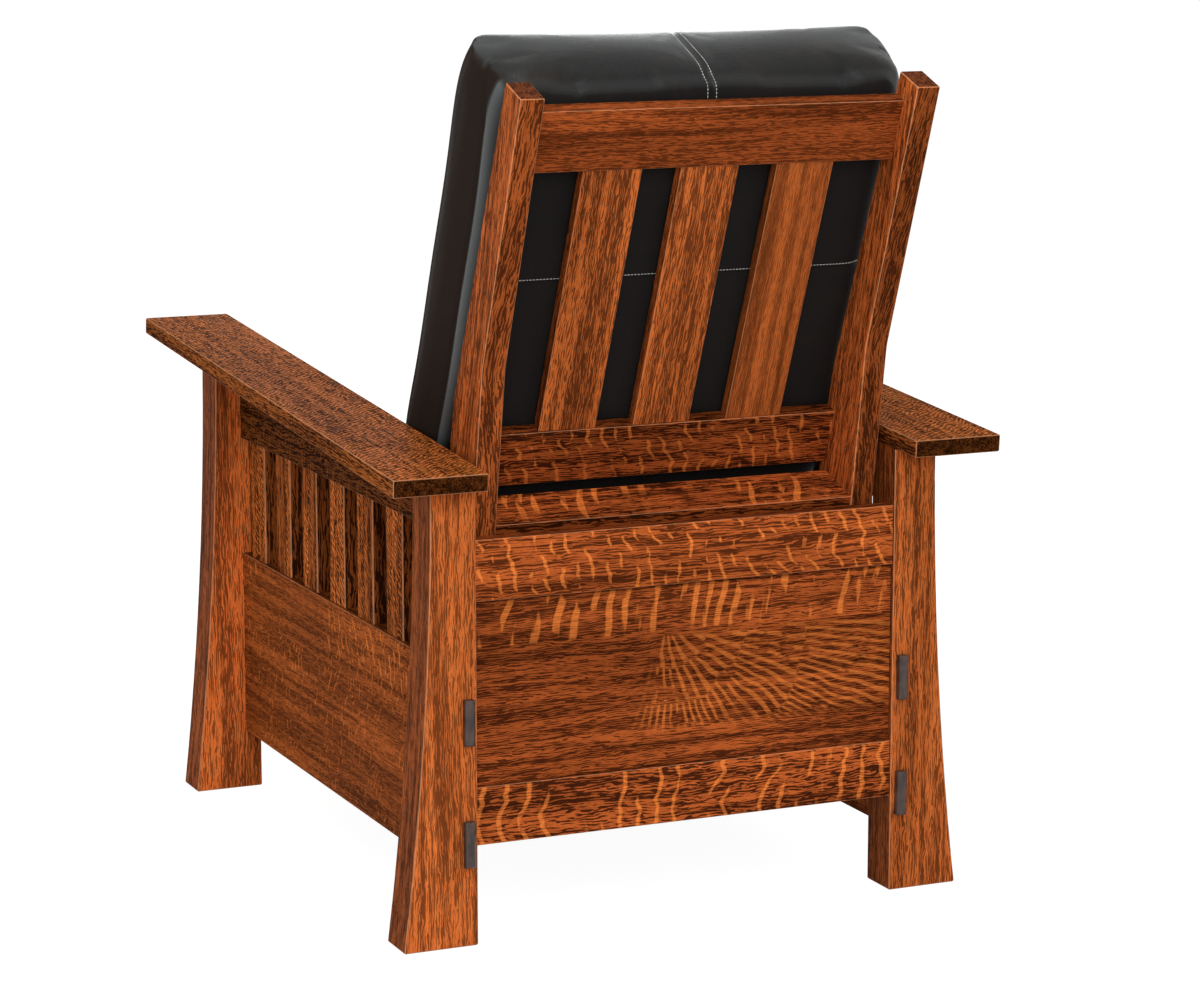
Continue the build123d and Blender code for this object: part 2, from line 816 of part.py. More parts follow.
def leaning_board(x, up, depth, radius=small_radius):
    """Board in the back's plane; depth counts back from the front face."""
    size = max(x) - min(x), max(up) - min(up), max(depth) - min(depth)
    solid = Pos(min(x), min(up), -min(depth)) * Box(*size, align=(Align.MIN, Align.MIN, Align.MAX))
    if radius:
        solid = fillet(solid.edges().filter_by(Axis.X), radius)
    return back_plane() * solid


def top_rail_span():
    """Lower and upper edge of the back's top rail, up the plane."""
    top = post_top_height + post_top_depth * sin(radians(post_upper_lean)) - back_top_rail_drop
    upper = (top - back_lower_rail_top) / cos(radians(back_plane_lean))
    return upper - back_top_rail_height, upper


def back_tenon(span, reach):
    """Tenon of a leaning rail, long enough on both sides for the posts."""
    up = (span[0] + tenon_shoulder, span[1] - tenon_shoulder)
    depth = (tenon_shoulder, back_rail_thickness - tenon_shoulder)
    return leaning_board((-post_inner - reach, post_inner + reach), up, depth, 0)


def back_top_tenon():
    """Mortise for the top rail's tenon."""
    return back_tenon(top_rail_span(), tenon_length + tenon_gap)


def back_lower_tenon():
    """Mortise for the lower rail's tenon."""
    return back_tenon((-back_lower_rail_height, 0), tenon_length + tenon_gap)


def slat_slot(centre, base, direction, gap):
    """Tenon or mortise of a back slat in a rail."""
    half = back_slat_width / 2 - tenon_shoulder
    inset = (back_rail_thickness - back_slat_thickness) / 2 + tenon_shoulder / 2
    end = base + direction * (tenon_length + gap)
    return leaning_board((centre - half, centre + half), (base, end), (inset, back_rail_thickness - inset), 0)


def back_slat_centres():
    """Middle of each back slat."""
    return [(i - (back_slat_count - 1) / 2) * back_slat_pitch for i in range(back_slat_count)]


def back_rail(span, slat_edge, direction):
    """Rail of the back frame with its tenons and slat mortises."""
    solid = leaning_board((-post_inner, post_inner), span, (0, back_rail_thickness))
    solid += back_tenon(span, tenon_length)
    for centre in back_slat_centres():
        solid -= slat_slot(centre, slat_edge, direction, tenon_gap)
    return solid


def back_slat(centre):
    """One slat of the back."""
    low, high = 0, top_rail_span()[0]
    inset = (back_rail_thickness - back_slat_thickness) / 2
    x = (centre - back_slat_width / 2, centre + back_slat_width / 2)
    solid = leaning_board(x, (low, high), (inset, back_rail_thickness - inset), 0)
    upright = [e for e in solid.edges() if e.length > back_slat_width * 2]
    solid = fillet(upright, small_radius)
    solid += slat_slot(centre, low, -1, 0)
    return solid + slat_slot(centre, high, 1, 0)


def bottom_board_rear():
    """Rear edge of the bottom board, just inside the posts' rear faces."""
    rise = bottom_board_rear_height - post_foot_height
    return post_outline()[0][0] + rise * tan(radians(post_lower_lean)) - small_radius


def bottom_board_body(x, depth, thickness_faces):
    """Board under the lower rail, sloping down to the rear."""
    rear = bottom_board_rear()
    slope = radians(bottom_board_slope)
    origin = (0, rear, bottom_board_rear_height)
    place = Plane(origin=origin, x_dir=(1, 0, 0), z_dir=(0, sin(slope), cos(slope)))
    sizes = [max(pair) - min(pair) for pair in (x, depth, thickness_faces)]
    solid = Box(*sizes, align=(Align.MIN,) * 3)
    return place * Pos(min(x), -max(depth), -max(thickness_faces)) * solid


def bottom_board_tenon():
    """Mortise for the bottom board's tenon."""
    reach = post_inner + tenon_length + tenon_gap
    depth = (tenon_shoulder * 2, bottom_board_depth - tenon_shoulder * 2)
    faces = (tenon_shoulder, bottom_board_thickness - tenon_shoulder)
    return bottom_board_body((-reach, reach), depth, faces)


def bottom_board():
    """Flat board between the posts' feet."""
    solid = bottom_board_body((-post_inner, post_inner), (0, bottom_board_depth), (0, bottom_board_thickness))
    solid = fillet(solid.edges().filter_by(Axis.X), small_radius)
    reach = post_inner + tenon_length
    depth = (tenon_shoulder * 2, bottom_board_depth - tenon_shoulder * 2)
    faces = (tenon_shoulder, bottom_board_thickness - tenon_shoulder)
    return solid + bottom_board_body((-reach, reach), depth, faces)


def bracket_top():
    """Middle of a back bracket's upper end, just under the bottom board."""
    y, _ = hinge_pivot()
    slope = radians(bottom_board_slope)
    ahead = bottom_board_rear() - y - bracket_width / 2
    underside = bottom_board_rear_height + ahead * tan(slope) - bottom_board_thickness / cos(slope)
    return y, underside - bracket_clearance - bracket_width / 2


def bracket_bolt_places():
    """Bolts of a back bracket."""
    y, height = bracket_top()
    return [(y - bracket_width / 4, height), (y + bracket_width / 4, height)]


def back_bracket():
    """Left steel bracket that hangs below the post's foot to the hinge."""
    hinge = hinge_pivot()
    solid = plate(strip(hinge, bracket_top(), bracket_width), bracket_inner, [hinge])
    for place in bracket_bolt_places():
        solid -= screw_hole(place, bracket_inner, post_inner)
    return solid


# Cushions: crowned, drawn in at the sides, with a sewn seam down the middle
def cushion_section(width, low, high, crown, dip, corner, low_corner):
    """Section of a cushion: flat below, crowned above on both sides of the middle seam."""
    half = width / 2
    bulge = corner * side_bulge_share
    bow = corner * corner_bow_share
    low_bow = low_corner * corner_bow_share
    low_left = (-half + low_bow, low + low_bow)
    quarter = half / 2
    mid = (low + high) / 2
    return make_face(
        Line((-half + low_corner, low), (half - low_corner, low))
        + ThreePointArc((half - low_corner, low), (half - low_bow, low + low_bow), (half, low + low_corner))
        + ThreePointArc((half, low + low_corner), (half + bulge, mid), (half, high - corner))
        + ThreePointArc((half, high - corner), (half - bow, high - bow), (half - corner, high))
        + ThreePointArc((half - corner, high), (quarter, high + crown), (0, high + crown - dip))
        + ThreePointArc((0, high + crown - dip), (-quarter, high + crown), (-half + corner, high))
        + ThreePointArc((-half + corner, high), (-half + bow, high - bow), (-half, high - corner))
        + ThreePointArc((-half, high - corner), (-half - bulge, mid), (-half, low + low_corner))
        + ThreePointArc((-half, low + low_corner), low_left, (-half + low_corner, low))
    )


def cushion(place, length, width, thickness, crown, corner, low_corner):
    """Cushion lofted along its length; place has X across, Y along and Z out of its crown."""
    sections = []
    for i, along in enumerate(cushion_length_shares):
        thick = thickness * cushion_thick_shares[i]
        sink = (thickness - thick) / 2
        swell = crown * (cushion_thick_shares[i] if 0 < along < 1 else 0) + small_radius
        section = cushion_section(
            width * cushion_width_shares[i],
            sink,
            sink + thick - swell,
            swell,
            channel_depth,
            corner * cushion_thick_shares[i],
            low_corner * cushion_thick_shares[i],
        )
        sections.append(Plane(origin=(0, along * length, 0), x_dir=(1, 0, 0), z_dir=(0, -1, 0)) * section)
    solid = loft(sections)
    return place * Pos(0, 0, -solid.bounding_box().min.Z) * solid


def seat_cushion():
    """Seat cushion on the webbing."""
    rear = seat_cushion_rear()
    length = rear - front_face - seat_frame_setback
    corner = back_cushion_front_corner * seat_corner_share
    place = Plane(origin=(0, rear - length, seat_cushion_bottom), x_dir=(1, 0, 0), z_dir=(0, 0, 1))
    sizes = (seat_cushion_width, seat_cushion_thickness, seat_cushion_crown)
    return cushion(place, length, *sizes, corner, corner)


def seat_cushion_rear():
    """Rear of the seat cushion, in front of the posts' feet."""
    return seat_frame_rear() - seat_cushion_rear_gap


def back_cushion():
    """Back cushion standing against the slats."""
    y, z = plane_origin()
    lean = radians(back_plane_lean)
    low = (back_cushion_bottom - z) / cos(lean)
    base_tilt = back_cushion_thickness * sin(lean)
    length = (back_cushion_top - base_tilt - z) / cos(lean) - low
    plane = back_plane()
    origin = plane.origin + plane.y_dir * low + plane.z_dir * back_cushion_gap
    place = Plane(origin=origin, x_dir=(1, 0, 0), z_dir=plane.z_dir)
    sizes = (back_cushion_width, back_cushion_thickness, back_cushion_crown)
    return cushion(place, length, *sizes, back_cushion_front_corner, back_cushion_rear_corner)


def footrest_pad():
    """Padded cover on the front of the footrest's board."""
    front = footrest_pivots()["board_rear"][0] - footrest_board_thickness - cushion_gap
    place = Plane(origin=(0, front, footrest_board_bottom), x_dir=(1, 0, 0), z_dir=(0, -1, 0))
    thickness = footrest_pad_thickness + footrest_pad_crown - cushion_gap
    corner = footrest_pad_thickness * pad_corner_share
    sizes = (footrest_board_width, thickness, footrest_pad_crown)
    return cushion(place, footrest_board_height, *sizes, corner, corner)


def both(solids):
    """The solids and their mirror images, as one group."""
    return [*solids, *[mirrored(s) for s in solids]]


def build_base():
    """Everything that stands still."""
    save_pair("rear_leg", finished_leg(rear_face))
    save_pair("front_leg", finished_leg(front_leg_rear))
    save_pair("arm", arm())
    save_pair("arm_apron", apron())
    save_pair("side_board", side_board())
    slats = [side_slat(y) for y in slat_places()]
    save("side_slats_left", *slats)
    save("side_slats_right", *[mirrored(s) for s in slats])
    save("tenon_keys", *both([key_solid(*place)[0] for place in key_places()]))
    save("base_top_rail", base_rail(top_rail_bottom, top_rail_height, top_rail_tenon, top_rail_bottom))
    bottom_rail = base_rail(bottom_rail_bottom, bottom_rail_height, bottom_rail_tenon, bottom_rail_top)
    save("base_bottom_rail", bottom_rail)
    save("base_back_panel", base_panel())
    save("base_stretcher", stretcher())
    save_pair("mechanism_cleat", cleat())
    save_pair("base_plate", base_plate())
    screws = [wood_screw(p, base_layer, 1) for p in base_screw_places()]
    save("base_plate_screws", *both(screws))
    uppers = [swing_pivots(y)[0] for y in (front_swing_place, rear_swing_place)]
    save("base_rivets", *both([rivet(p, swing_layer, base_layer) for p in uppers]))


def build_links():
    """Swing links and the footrest's links."""
    for name, place in (("front", front_swing_place), ("rear", rear_swing_place)):
        ends = swing_pivots(place)
        save(f"{name}_swing_links", *both([plate(strip(*ends, link_width), swing_layer, ends)]))
    p = footrest_pivots()
    names = ("rear_link", "front_link", "rear_link_end", "carrier", "bracket", "bracket_end", "control")
    a, b, c, d, e, f, g = [p[name] for name in names]
    save("footrest_rear_links", *both([plate(strip(a, c, link_width), link_layer, [a, c])]))
    save("footrest_front_links", *both([plate(strip(b, g, link_width), link_layer, [b, d, g])]))
    save("footrest_carrier_links", *both([plate(strip(c, e, link_width), carrier_layer, [c, d, e])]))
    save("footrest_control_links", *both([plate(strip(g, f, link_width), carrier_layer, [g, f])]))
    save("footrest_carrier_rivets", *both([rivet(pivot, carrier_layer, link_layer) for pivot in (c, d)]))
    save("footrest_control_rivets", *both([rivet(g, carrier_layer, link_layer)]))
    save("footrest_bracket_rivets", *both([rivet(pivot, footrest_layer, carrier_layer) for pivot in (e, f)]))
    save("footrest_cross_tube", cross_tube())
    save_pair("footrest_bracket", footrest_bracket())
    save("footrest_screws", *both(footrest_screws()))
    save("footrest_board", footrest_board())
    save("footrest_pad", footrest_pad())


def build_seat():
    """Seat frame, its plates and its cushion."""
    save_pair("seat_plate", seat_plate())
    front, rear, side = seat_rails()
    save("seat_front_rail", front)
    save("seat_rear_rail", rear)
    save_pair("seat_side_rail", side)
    save("seat_webbing", *straps())
    save("seat_cushion", seat_cushion())
    p = footrest_pivots()
    lowers = [swing_pivots(y)[1] for y in (front_swing_place, rear_swing_place)]
    rivets = [rivet(lower, seat_layer, swing_layer) for lower in lowers]
    rivets += [rivet(p[k], link_layer, seat_layer) for k in ("rear_link", "front_link")]
    rivets.append(rivet(hinge_pivot(), seat_layer, bracket_inner))
    save("seat_rivets", *both(rivets))


def build_back():
    """Back frame, its brackets and its cushion."""
    save_pair("back_post", post())
    span = top_rail_span()
    save("back_top_rail", back_rail(span, span[0], 1))
    save("back_lower_rail", back_rail((-back_lower_rail_height, 0), 0, -1))
    save("back_bottom_board", bottom_board())
    for i, centre in enumerate(back_slat_centres()):
        save(f"back_slat_{i + 1}", back_slat(centre))
    save_pair("back_bracket", back_bracket())
    save("back_bracket_bolts", *both([wood_screw(p, bracket_inner, 1) for p in bracket_bolt_places()]))
    save("back_cushion", back_cushion())


os.makedirs("parts", exist_ok=True)
build_base()
build_links()
build_seat()
build_back()
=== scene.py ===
import json
import math

import bpy
import bmesh
import numpy as np
from mathutils import Matrix, Vector
from mathutils.bvhtree import BVHTree


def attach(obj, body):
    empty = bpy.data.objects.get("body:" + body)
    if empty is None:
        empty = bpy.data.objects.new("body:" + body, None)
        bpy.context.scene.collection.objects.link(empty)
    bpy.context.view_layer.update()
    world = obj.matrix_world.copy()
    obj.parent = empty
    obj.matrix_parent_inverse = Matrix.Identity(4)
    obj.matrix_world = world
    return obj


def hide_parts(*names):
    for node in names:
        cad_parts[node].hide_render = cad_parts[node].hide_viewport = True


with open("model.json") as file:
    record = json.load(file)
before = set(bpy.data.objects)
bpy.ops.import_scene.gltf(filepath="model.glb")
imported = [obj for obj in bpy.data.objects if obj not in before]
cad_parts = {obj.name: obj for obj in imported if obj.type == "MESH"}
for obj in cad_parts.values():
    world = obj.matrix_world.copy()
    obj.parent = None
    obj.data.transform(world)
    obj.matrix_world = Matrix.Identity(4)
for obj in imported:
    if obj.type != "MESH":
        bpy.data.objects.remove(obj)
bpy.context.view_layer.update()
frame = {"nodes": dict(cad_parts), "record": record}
nodes = frame["nodes"]
scene = bpy.context.scene
print("frame loaded:", len(nodes), "nodes")

# camera, light and floor

cameraPlace = {
    "azimuth": 155.99,
    "elevation": 10.444,
    "place": (1.7716, 4.1083, 1.2711),
    "lens": 105.955,
    "sensor": 36.0,
    "clip": (0.05, 400.0),
}


def makeCamera():
    data = bpy.data.cameras.new("camera")
    data.lens = cameraPlace["lens"]
    data.sensor_width = cameraPlace["sensor"]
    data.clip_start, data.clip_end = cameraPlace["clip"]
    camera = bpy.data.objects.new("camera", data)
    turn, rise = math.radians(cameraPlace["azimuth"]), math.radians(cameraPlace["elevation"])
    back = Vector((math.sin(turn) * math.cos(rise), -math.cos(turn) * math.cos(rise), math.sin(rise)))
    camera.rotation_mode = "QUATERNION"
    camera.rotation_quaternion = (-back).to_track_quat("-Z", "Y")
    camera.location = cameraPlace["place"]
    scene.collection.objects.link(camera)
    scene.camera = camera


lampLook = {
    "key": {"place": (1.3, 4.5, 2.5), "size": 2.4, "power": 104.0},
    "side": {"place": (4.4, 0.6, 1.8), "size": 2.0, "power": 34.0},
    "top": {"place": (0.6, 1.4, 4.0), "size": 2.2, "power": 46.0},
    "front": {"place": (-1.4, -4.4, 2.4), "size": 2.2, "power": 50.0},
}
lampAim = (0, 0, 0.5)
worldLook = {"ambient": 0.36, "seen": 1.0}
floorLook = {
    "radius": 60.0,
    "drop": 0.0006,
    "bounce": (0.72, 0.71, 0.70, 1),
    "shade": (0.2, 0.2, 0.2, 1),
    "glow": 0.95,
}


def makeLamps():
    for name, look in lampLook.items():
        data = bpy.data.lights.new(f"lamp_{name}", "AREA")
        data.size = look["size"]
        data.energy = look["power"]
        lamp = bpy.data.objects.new(f"lamp_{name}", data)
        lamp.location = look["place"]
        lamp.rotation_mode = "QUATERNION"
        lamp.rotation_quaternion = (Vector(lampAim) - lamp.location).to_track_quat("-Z", "Y")
        scene.collection.objects.link(lamp)


# small helpers for node trees


def linear(red, green, blue):
    # Colour as picked on screen, 0 to 255, made linear.
    share = np.array([red, green, blue]) / 255
    return (*np.where(share <= 0.04045, share / 12.92, ((share + 0.055) / 1.055) ** 2.4), 1.0)


def add(tree, kind, inputs=(), **settings):
    # One node; an input is a value or another node's socket.
    made = tree.nodes.new(kind)
    for key, value in settings.items():
        setattr(made, key, value)
    for key, value in dict(inputs).items():
        if isinstance(value, bpy.types.NodeSocket):
            tree.links.new(value, made.inputs[key])
        else:
            made.inputs[key].default_value = value
    return made


def calc(tree, operation, *values, clamp=False):
    return add(tree, "ShaderNodeMath", enumerate(values), operation=operation, use_clamp=clamp).outputs[0]


def product(tree, *values):
    total = values[0]
    for value in values[1:]:
        total = calc(tree, "MULTIPLY", total, value)
    return total


def stretch(tree, vector, factors):
    return add(tree, "ShaderNodeVectorMath", {0: vector, 1: factors}, operation="MULTIPLY").outputs[0]


def shift(tree, vector, way, operation="ADD"):
    return add(tree, "ShaderNodeVectorMath", {0: vector, 1: way}, operation=operation).outputs[0]


def dot(tree, vector, axis):
    return add(tree, "ShaderNodeVectorMath", {0: vector, 1: axis}, operation="DOT_PRODUCT").outputs["Value"]


def split(tree, vector):
    return add(tree, "ShaderNodeSeparateXYZ", {0: vector}).outputs


def noise(tree, vector, factors, detail=2.0, roughness=0.5, distortion=0.0, output="Fac"):
    inputs = {"Vector": stretch(tree, vector, factors), "Scale": 1.0, "Detail": detail}
    inputs.update({"Roughness": roughness, "Distortion": distortion})
    return add(tree, "ShaderNodeTexNoise", inputs).outputs[output]


def ramp(tree, value, low, high, first=0.0, last=1.0):
    # Smooth step from first to last while the value goes from low to high.
    inputs = {"Value": value, 1: low, 2: high, 3: first, 4: last}
    return add(tree, "ShaderNodeMapRange", inputs, interpolation_type="SMOOTHSTEP").outputs[0]


def tint(tree, share, first, second, mode="MIX"):
    inputs = {0: share, 6: first, 7: second}
    return add(tree, "ShaderNodeMix", inputs, data_type="RGBA", blend_type=mode).outputs[2]


def newMaterial(name):
    material = bpy.data.materials.new(name)
    material.use_nodes = True
    tree = material.node_tree
    tree.nodes.clear()
    shader = add(tree, "ShaderNodeBsdfPrincipled")
    end = add(tree, "ShaderNodeOutputMaterial", {"Surface": shader.outputs[0]})
    return material, tree, shader, end


def wear(tree, shader, height, strength, distance):
    bump = add(tree, "ShaderNodeBump", {"Height": height, "Strength": strength, "Distance": distance})
    tree.links.new(bump.outputs[0], shader.inputs["Normal"])


def grainTurn(grain, face):
    # Turn that lays the grain along X and the board's wide face towards Y.
    along, out = Vector(grain).normalized(), Vector(face).normalized()
    return Matrix((along, out, along.cross(out))).to_euler("XYZ")


# stage


def raysSeen(tree):
    # 1 for camera rays and for mirrored or passed-on ones, 0 for those that only carry light.
    rays = add(tree, "ShaderNodeLightPath").outputs
    seen = calc(tree, "ADD", rays["Is Camera Ray"], rays["Is Glossy Ray"])
    return calc(tree, "ADD", seen, rays["Is Transmission Ray"], clamp=True)


def makeFloor():
    # Pale floor: what is seen glows almost white and still takes shadows, what bounces light is plain paint.
    place = (0, 0, -floorLook["drop"])
    bpy.ops.mesh.primitive_circle_add(vertices=64, radius=floorLook["radius"], fill_type="NGON", location=place)
    floor = bpy.context.object
    floor.name = "floor"
    material, tree, shader, end = newMaterial("studioFloor")
    tree.nodes.remove(shader)
    seen = raysSeen(tree)
    bounce = add(tree, "ShaderNodeBsdfDiffuse", {"Color": floorLook["bounce"]})
    shade = add(tree, "ShaderNodeBsdfDiffuse", {"Color": floorLook["shade"]})
    glow = add(tree, "ShaderNodeEmission", {"Color": (1, 1, 1, 1), "Strength": floorLook["glow"]})
    both = add(tree, "ShaderNodeAddShader", {0: shade.outputs[0], 1: glow.outputs[0]})
    mixed = add(tree, "ShaderNodeMixShader", {0: seen, 1: bounce.outputs[0], 2: both.outputs[0]})
    tree.links.new(mixed.outputs[0], end.inputs[0])
    floor.data.materials.append(material)


def makeWorld():
    world = bpy.data.worlds.new("studio")
    scene.world = world
    world.use_nodes = True
    tree = world.node_tree
    tree.nodes.clear()
    seen = raysSeen(tree)
    ambient = add(tree, "ShaderNodeBackground", {"Color": (1, 1, 1, 1), "Strength": worldLook["ambient"]})
    shown = add(tree, "ShaderNodeBackground", {"Color": (1, 1, 1, 1), "Strength": worldLook["seen"]})
    mixed = add(tree, "ShaderNodeMixShader", {0: seen, 1: ambient.outputs[0], 2: shown.outputs[0]})
    add(tree, "ShaderNodeOutputWorld", {"Surface": mixed.outputs[0]})


makeCamera()
makeLamps()
makeFloor()
makeWorld()
scene.view_settings.view_transform = "Standard"
print("stage ready")

# oak

oakLook = {
    "dark": linear(38, 14, 7),
    "light": linear(190, 94, 43),
    "brownDark": linear(44, 22, 12),
    "brownLight": linear(158, 94, 42),
    "fleck": linear(236, 130, 58),
    # arrisHighlight is the colour of the painted highlight on the rounded edges
    "arrisHighlight": linear(228, 160, 116),
    "roughness": 0.42,
    "endGrain": 0.32,
}

# ray flecks: lines per metre along the grain and their slant, how far a slow noise bends them, line width as a
# share, and the noise that breaks them into lengths, with its threshold
flecks = {
    "short": {
        "lines": 52, "slant": -0.35, "bend": 2.2, "warp": (5, 4, 30), "width": 0.08,
        "breaks": (60, 12, 34), "limit": 0.47, "amount": 0.85,
    },
    "long": {
        "lines": 40, "slant": 0.1, "bend": 2.6, "warp": (4, 3, 20), "width": 0.07,
        "breaks": (34, 8, 9), "limit": 0.42, "amount": 0.8,
    },
    "broad": {
        "lines": 50, "slant": 0.25, "bend": 2.2, "warp": (6, 4, 8), "width": 0.17,
        "breaks": (44, 8, 13), "limit": 0.5, "amount": 0.9,
    },
    "small": {
        "lines": 90, "slant": 0.4, "bend": 2.6, "warp": (10, 6, 40), "width": 0.09,
        "breaks": (90, 26, 70), "limit": 0.52, "amount": 0.6,
    },
    "speck": {
        "lines": 120, "slant": 0.8, "bend": 3.0, "warp": (20, 8, 50), "width": 0.16,
        "breaks": (130, 50, 120), "limit": 0.42, "amount": 0.9,
    },
}
fleckEdge = 0.07  # softness of a fleck's sides and ends


def fleckLines(tree, place, look):
    # Contour lines of the distance along the grain bent by a slow noise, broken up by a quicker one.
    parts = split(tree, place)
    distance = calc(tree, "MULTIPLY_ADD", parts[2], look["slant"], parts[0])
    bent = calc(tree, "MULTIPLY", noise(tree, place, look["warp"], 2.0, 0.45), look["bend"])
    phase = calc(tree, "MULTIPLY_ADD", distance, look["lines"], bent)
    ribbon = ramp(tree, calc(tree, "PINGPONG", phase, 0.5), look["width"] + fleckEdge, look["width"])
    whole = ramp(tree, noise(tree, place, look["breaks"], 2.0), look["limit"], look["limit"] + fleckEdge)
    return product(tree, ribbon, whole, look["amount"])


# fan figure of the back panel: its point, its lines per turn at full count, the heights between which it shows, and
# the distances from the point at which the count doubles
fan = {
    "x": 0.030, "z": 0.366, "lines": 40, "low": 0.228, "high": 0.352, "half": 0.055, "double": 0.105, "fine": 0.19,
    "sway": 0.04, "wander": 1.6, "amount": 0.8,
}


def fanLines(tree, spot, place):
    # Lines that spread from a point like a fan: the angle round it times a count that doubles further out, slightly
    # bent.
    parts = split(tree, spot)
    right = calc(tree, "SUBTRACT", fan["x"], parts[0])
    down = calc(tree, "SUBTRACT", fan["z"], parts[2])
    angle = calc(tree, "ARCTAN2", down, right)
    square = calc(tree, "ADD", product(tree, right, right), product(tree, down, down))
    radius = calc(tree, "SQRT", square)
    sway = noise(tree, place, (16, 4, 16), 2.0)
    swayed = calc(tree, "MULTIPLY_ADD", sway, fan["sway"], calc(tree, "SUBTRACT", radius, fan["sway"] / 2))
    count = ramp(tree, swayed, fan["half"], fan["half"] + 0.002, 0.5, 1.0)
    count = calc(tree, "ADD", count, ramp(tree, swayed, fan["double"], fan["double"] + 0.003))
    count = calc(tree, "ADD", count, ramp(tree, swayed, fan["fine"], fan["fine"] + 0.003, 0.0, 2.0))
    phase = product(tree, angle, fan["lines"] / (2 * math.pi), count)
    phase = calc(tree, "MULTIPLY_ADD", sway, fan["wander"], phase)
    ribbon = ramp(tree, calc(tree, "PINGPONG", phase, 0.5), 0.26, 0.13)
    whole = ramp(tree, noise(tree, place, (40, 10, 30), 2.0), 0.3, 0.42)
    rising = ramp(tree, parts[2], fan["low"], fan["low"] + 0.02)
    falling = ramp(tree, parts[2], fan["high"], fan["high"] - 0.006)
    zone = product(tree, rising, falling, ramp(tree, angle, 2.0, 1.6))
    return product(tree, ribbon, whole, zone, fan["amount"])


def ownBoards(tree, spot, place, boards, seed, tone):
    # Glued boards or separate slats, counted along an axis: a random number of each moves its pattern and its tone.
    axis, start, width = boards
    index = calc(tree, "FLOOR", calc(tree, "DIVIDE", calc(tree, "SUBTRACT", dot(tree, spot, axis), start), width))
    chance = add(tree, "ShaderNodeTexWhiteNoise", {"W": calc(tree, "ADD", index, seed)}, noise_dimensions="1D")
    chance = chance.outputs[0]
    far, near = calc(tree, "MULTIPLY", chance, 5.3), calc(tree, "MULTIPLY", chance, 2.9)
    jump = add(tree, "ShaderNodeCombineXYZ", {0: far, 1: chance, 2: near}).outputs[0]
    return shift(tree, place, jump), ramp(tree, chance, 0.0, 1.0, tone * 0.86, tone * 1.12)


# pores: spacing of their rows and the rows' lean, the noise that bends the rows, the one that breaks them and how much
# it counts, how the dark streaks crowd them, and the fine dashes between them
poreLook = {
    "row": 0.0038, "lean": 0.83, "bendNoise": (34, 90, 90), "bend": 3.4, "breakNoise": (46, 300, 300),
    "gain": 1.7, "cut": -0.60, "crowd": (-0.08, 0.07), "edge": (-0.05, 0.07), "amount": 0.9,
    "fineNoise": (110, 1500, 1500), "fineAmount": 0.4,
}


def poreDashes(tree, place, waved, streak, dash, pitch, length):
    # Rows of pores: the distance across the grain over the row spacing, bent by a noise, less a noise that breaks the
    # rows into dashes.
    row = pitch * poreLook["row"]
    cross = dot(tree, waved, (0, poreLook["lean"] / row, 1 / row))
    bend = noise(tree, place, poreLook["bendNoise"], 2.0)
    rows = calc(tree, "PINGPONG", calc(tree, "ADD", cross, calc(tree, "MULTIPLY", bend, poreLook["bend"])), 0.5)
    x, y, z = poreLook["breakNoise"]
    coarse = noise(tree, waved, (x / length, y / pitch, z / pitch), 2.0, 0.5)
    crowd = ramp(tree, streak, 0.66, 0.36, *poreLook["crowd"])
    dashes = calc(tree, "MULTIPLY_ADD", calc(tree, "ADD", coarse, crowd), poreLook["gain"], poreLook["cut"])
    dashes = ramp(tree, calc(tree, "SUBTRACT", dashes, rows), *poreLook["edge"])
    fine = ramp(tree, noise(tree, waved, poreLook["fineNoise"], 1.0), 0.54, 0.66)
    dashes = calc(tree, "MULTIPLY", dashes, poreLook["amount"] * dash)
    return calc(tree, "MAXIMUM", dashes, calc(tree, "MULTIPLY", fine, poreLook["fineAmount"]))


def rayFlecks(tree, spot, place, rays, patch, wide):
    # The named figures laid over each other, each between two heights if given, on the wide faces and in patches.
    lines = 0.0
    for ray in rays:
        kind, low, high = ray if isinstance(ray, tuple) else (ray, None, None)
        layer = fanLines(tree, spot, place) if kind == "fan" else fleckLines(tree, place, flecks[kind])
        if low is not None:
            height = split(tree, spot)[2]
            rising, falling = ramp(tree, height, low, low + 0.004), ramp(tree, height, high + 0.004, high)
            layer = product(tree, layer, product(tree, rising, falling))
        lines = calc(tree, "MAXIMUM", lines, layer)
    spread = ramp(tree, noise(tree, place, (7, 4, 9), 1.0), patch, patch + 0.16)
    return calc(tree, "MULTIPLY", product(tree, lines, spread), ramp(tree, wide, 0.75, 0.95), clamp=True)
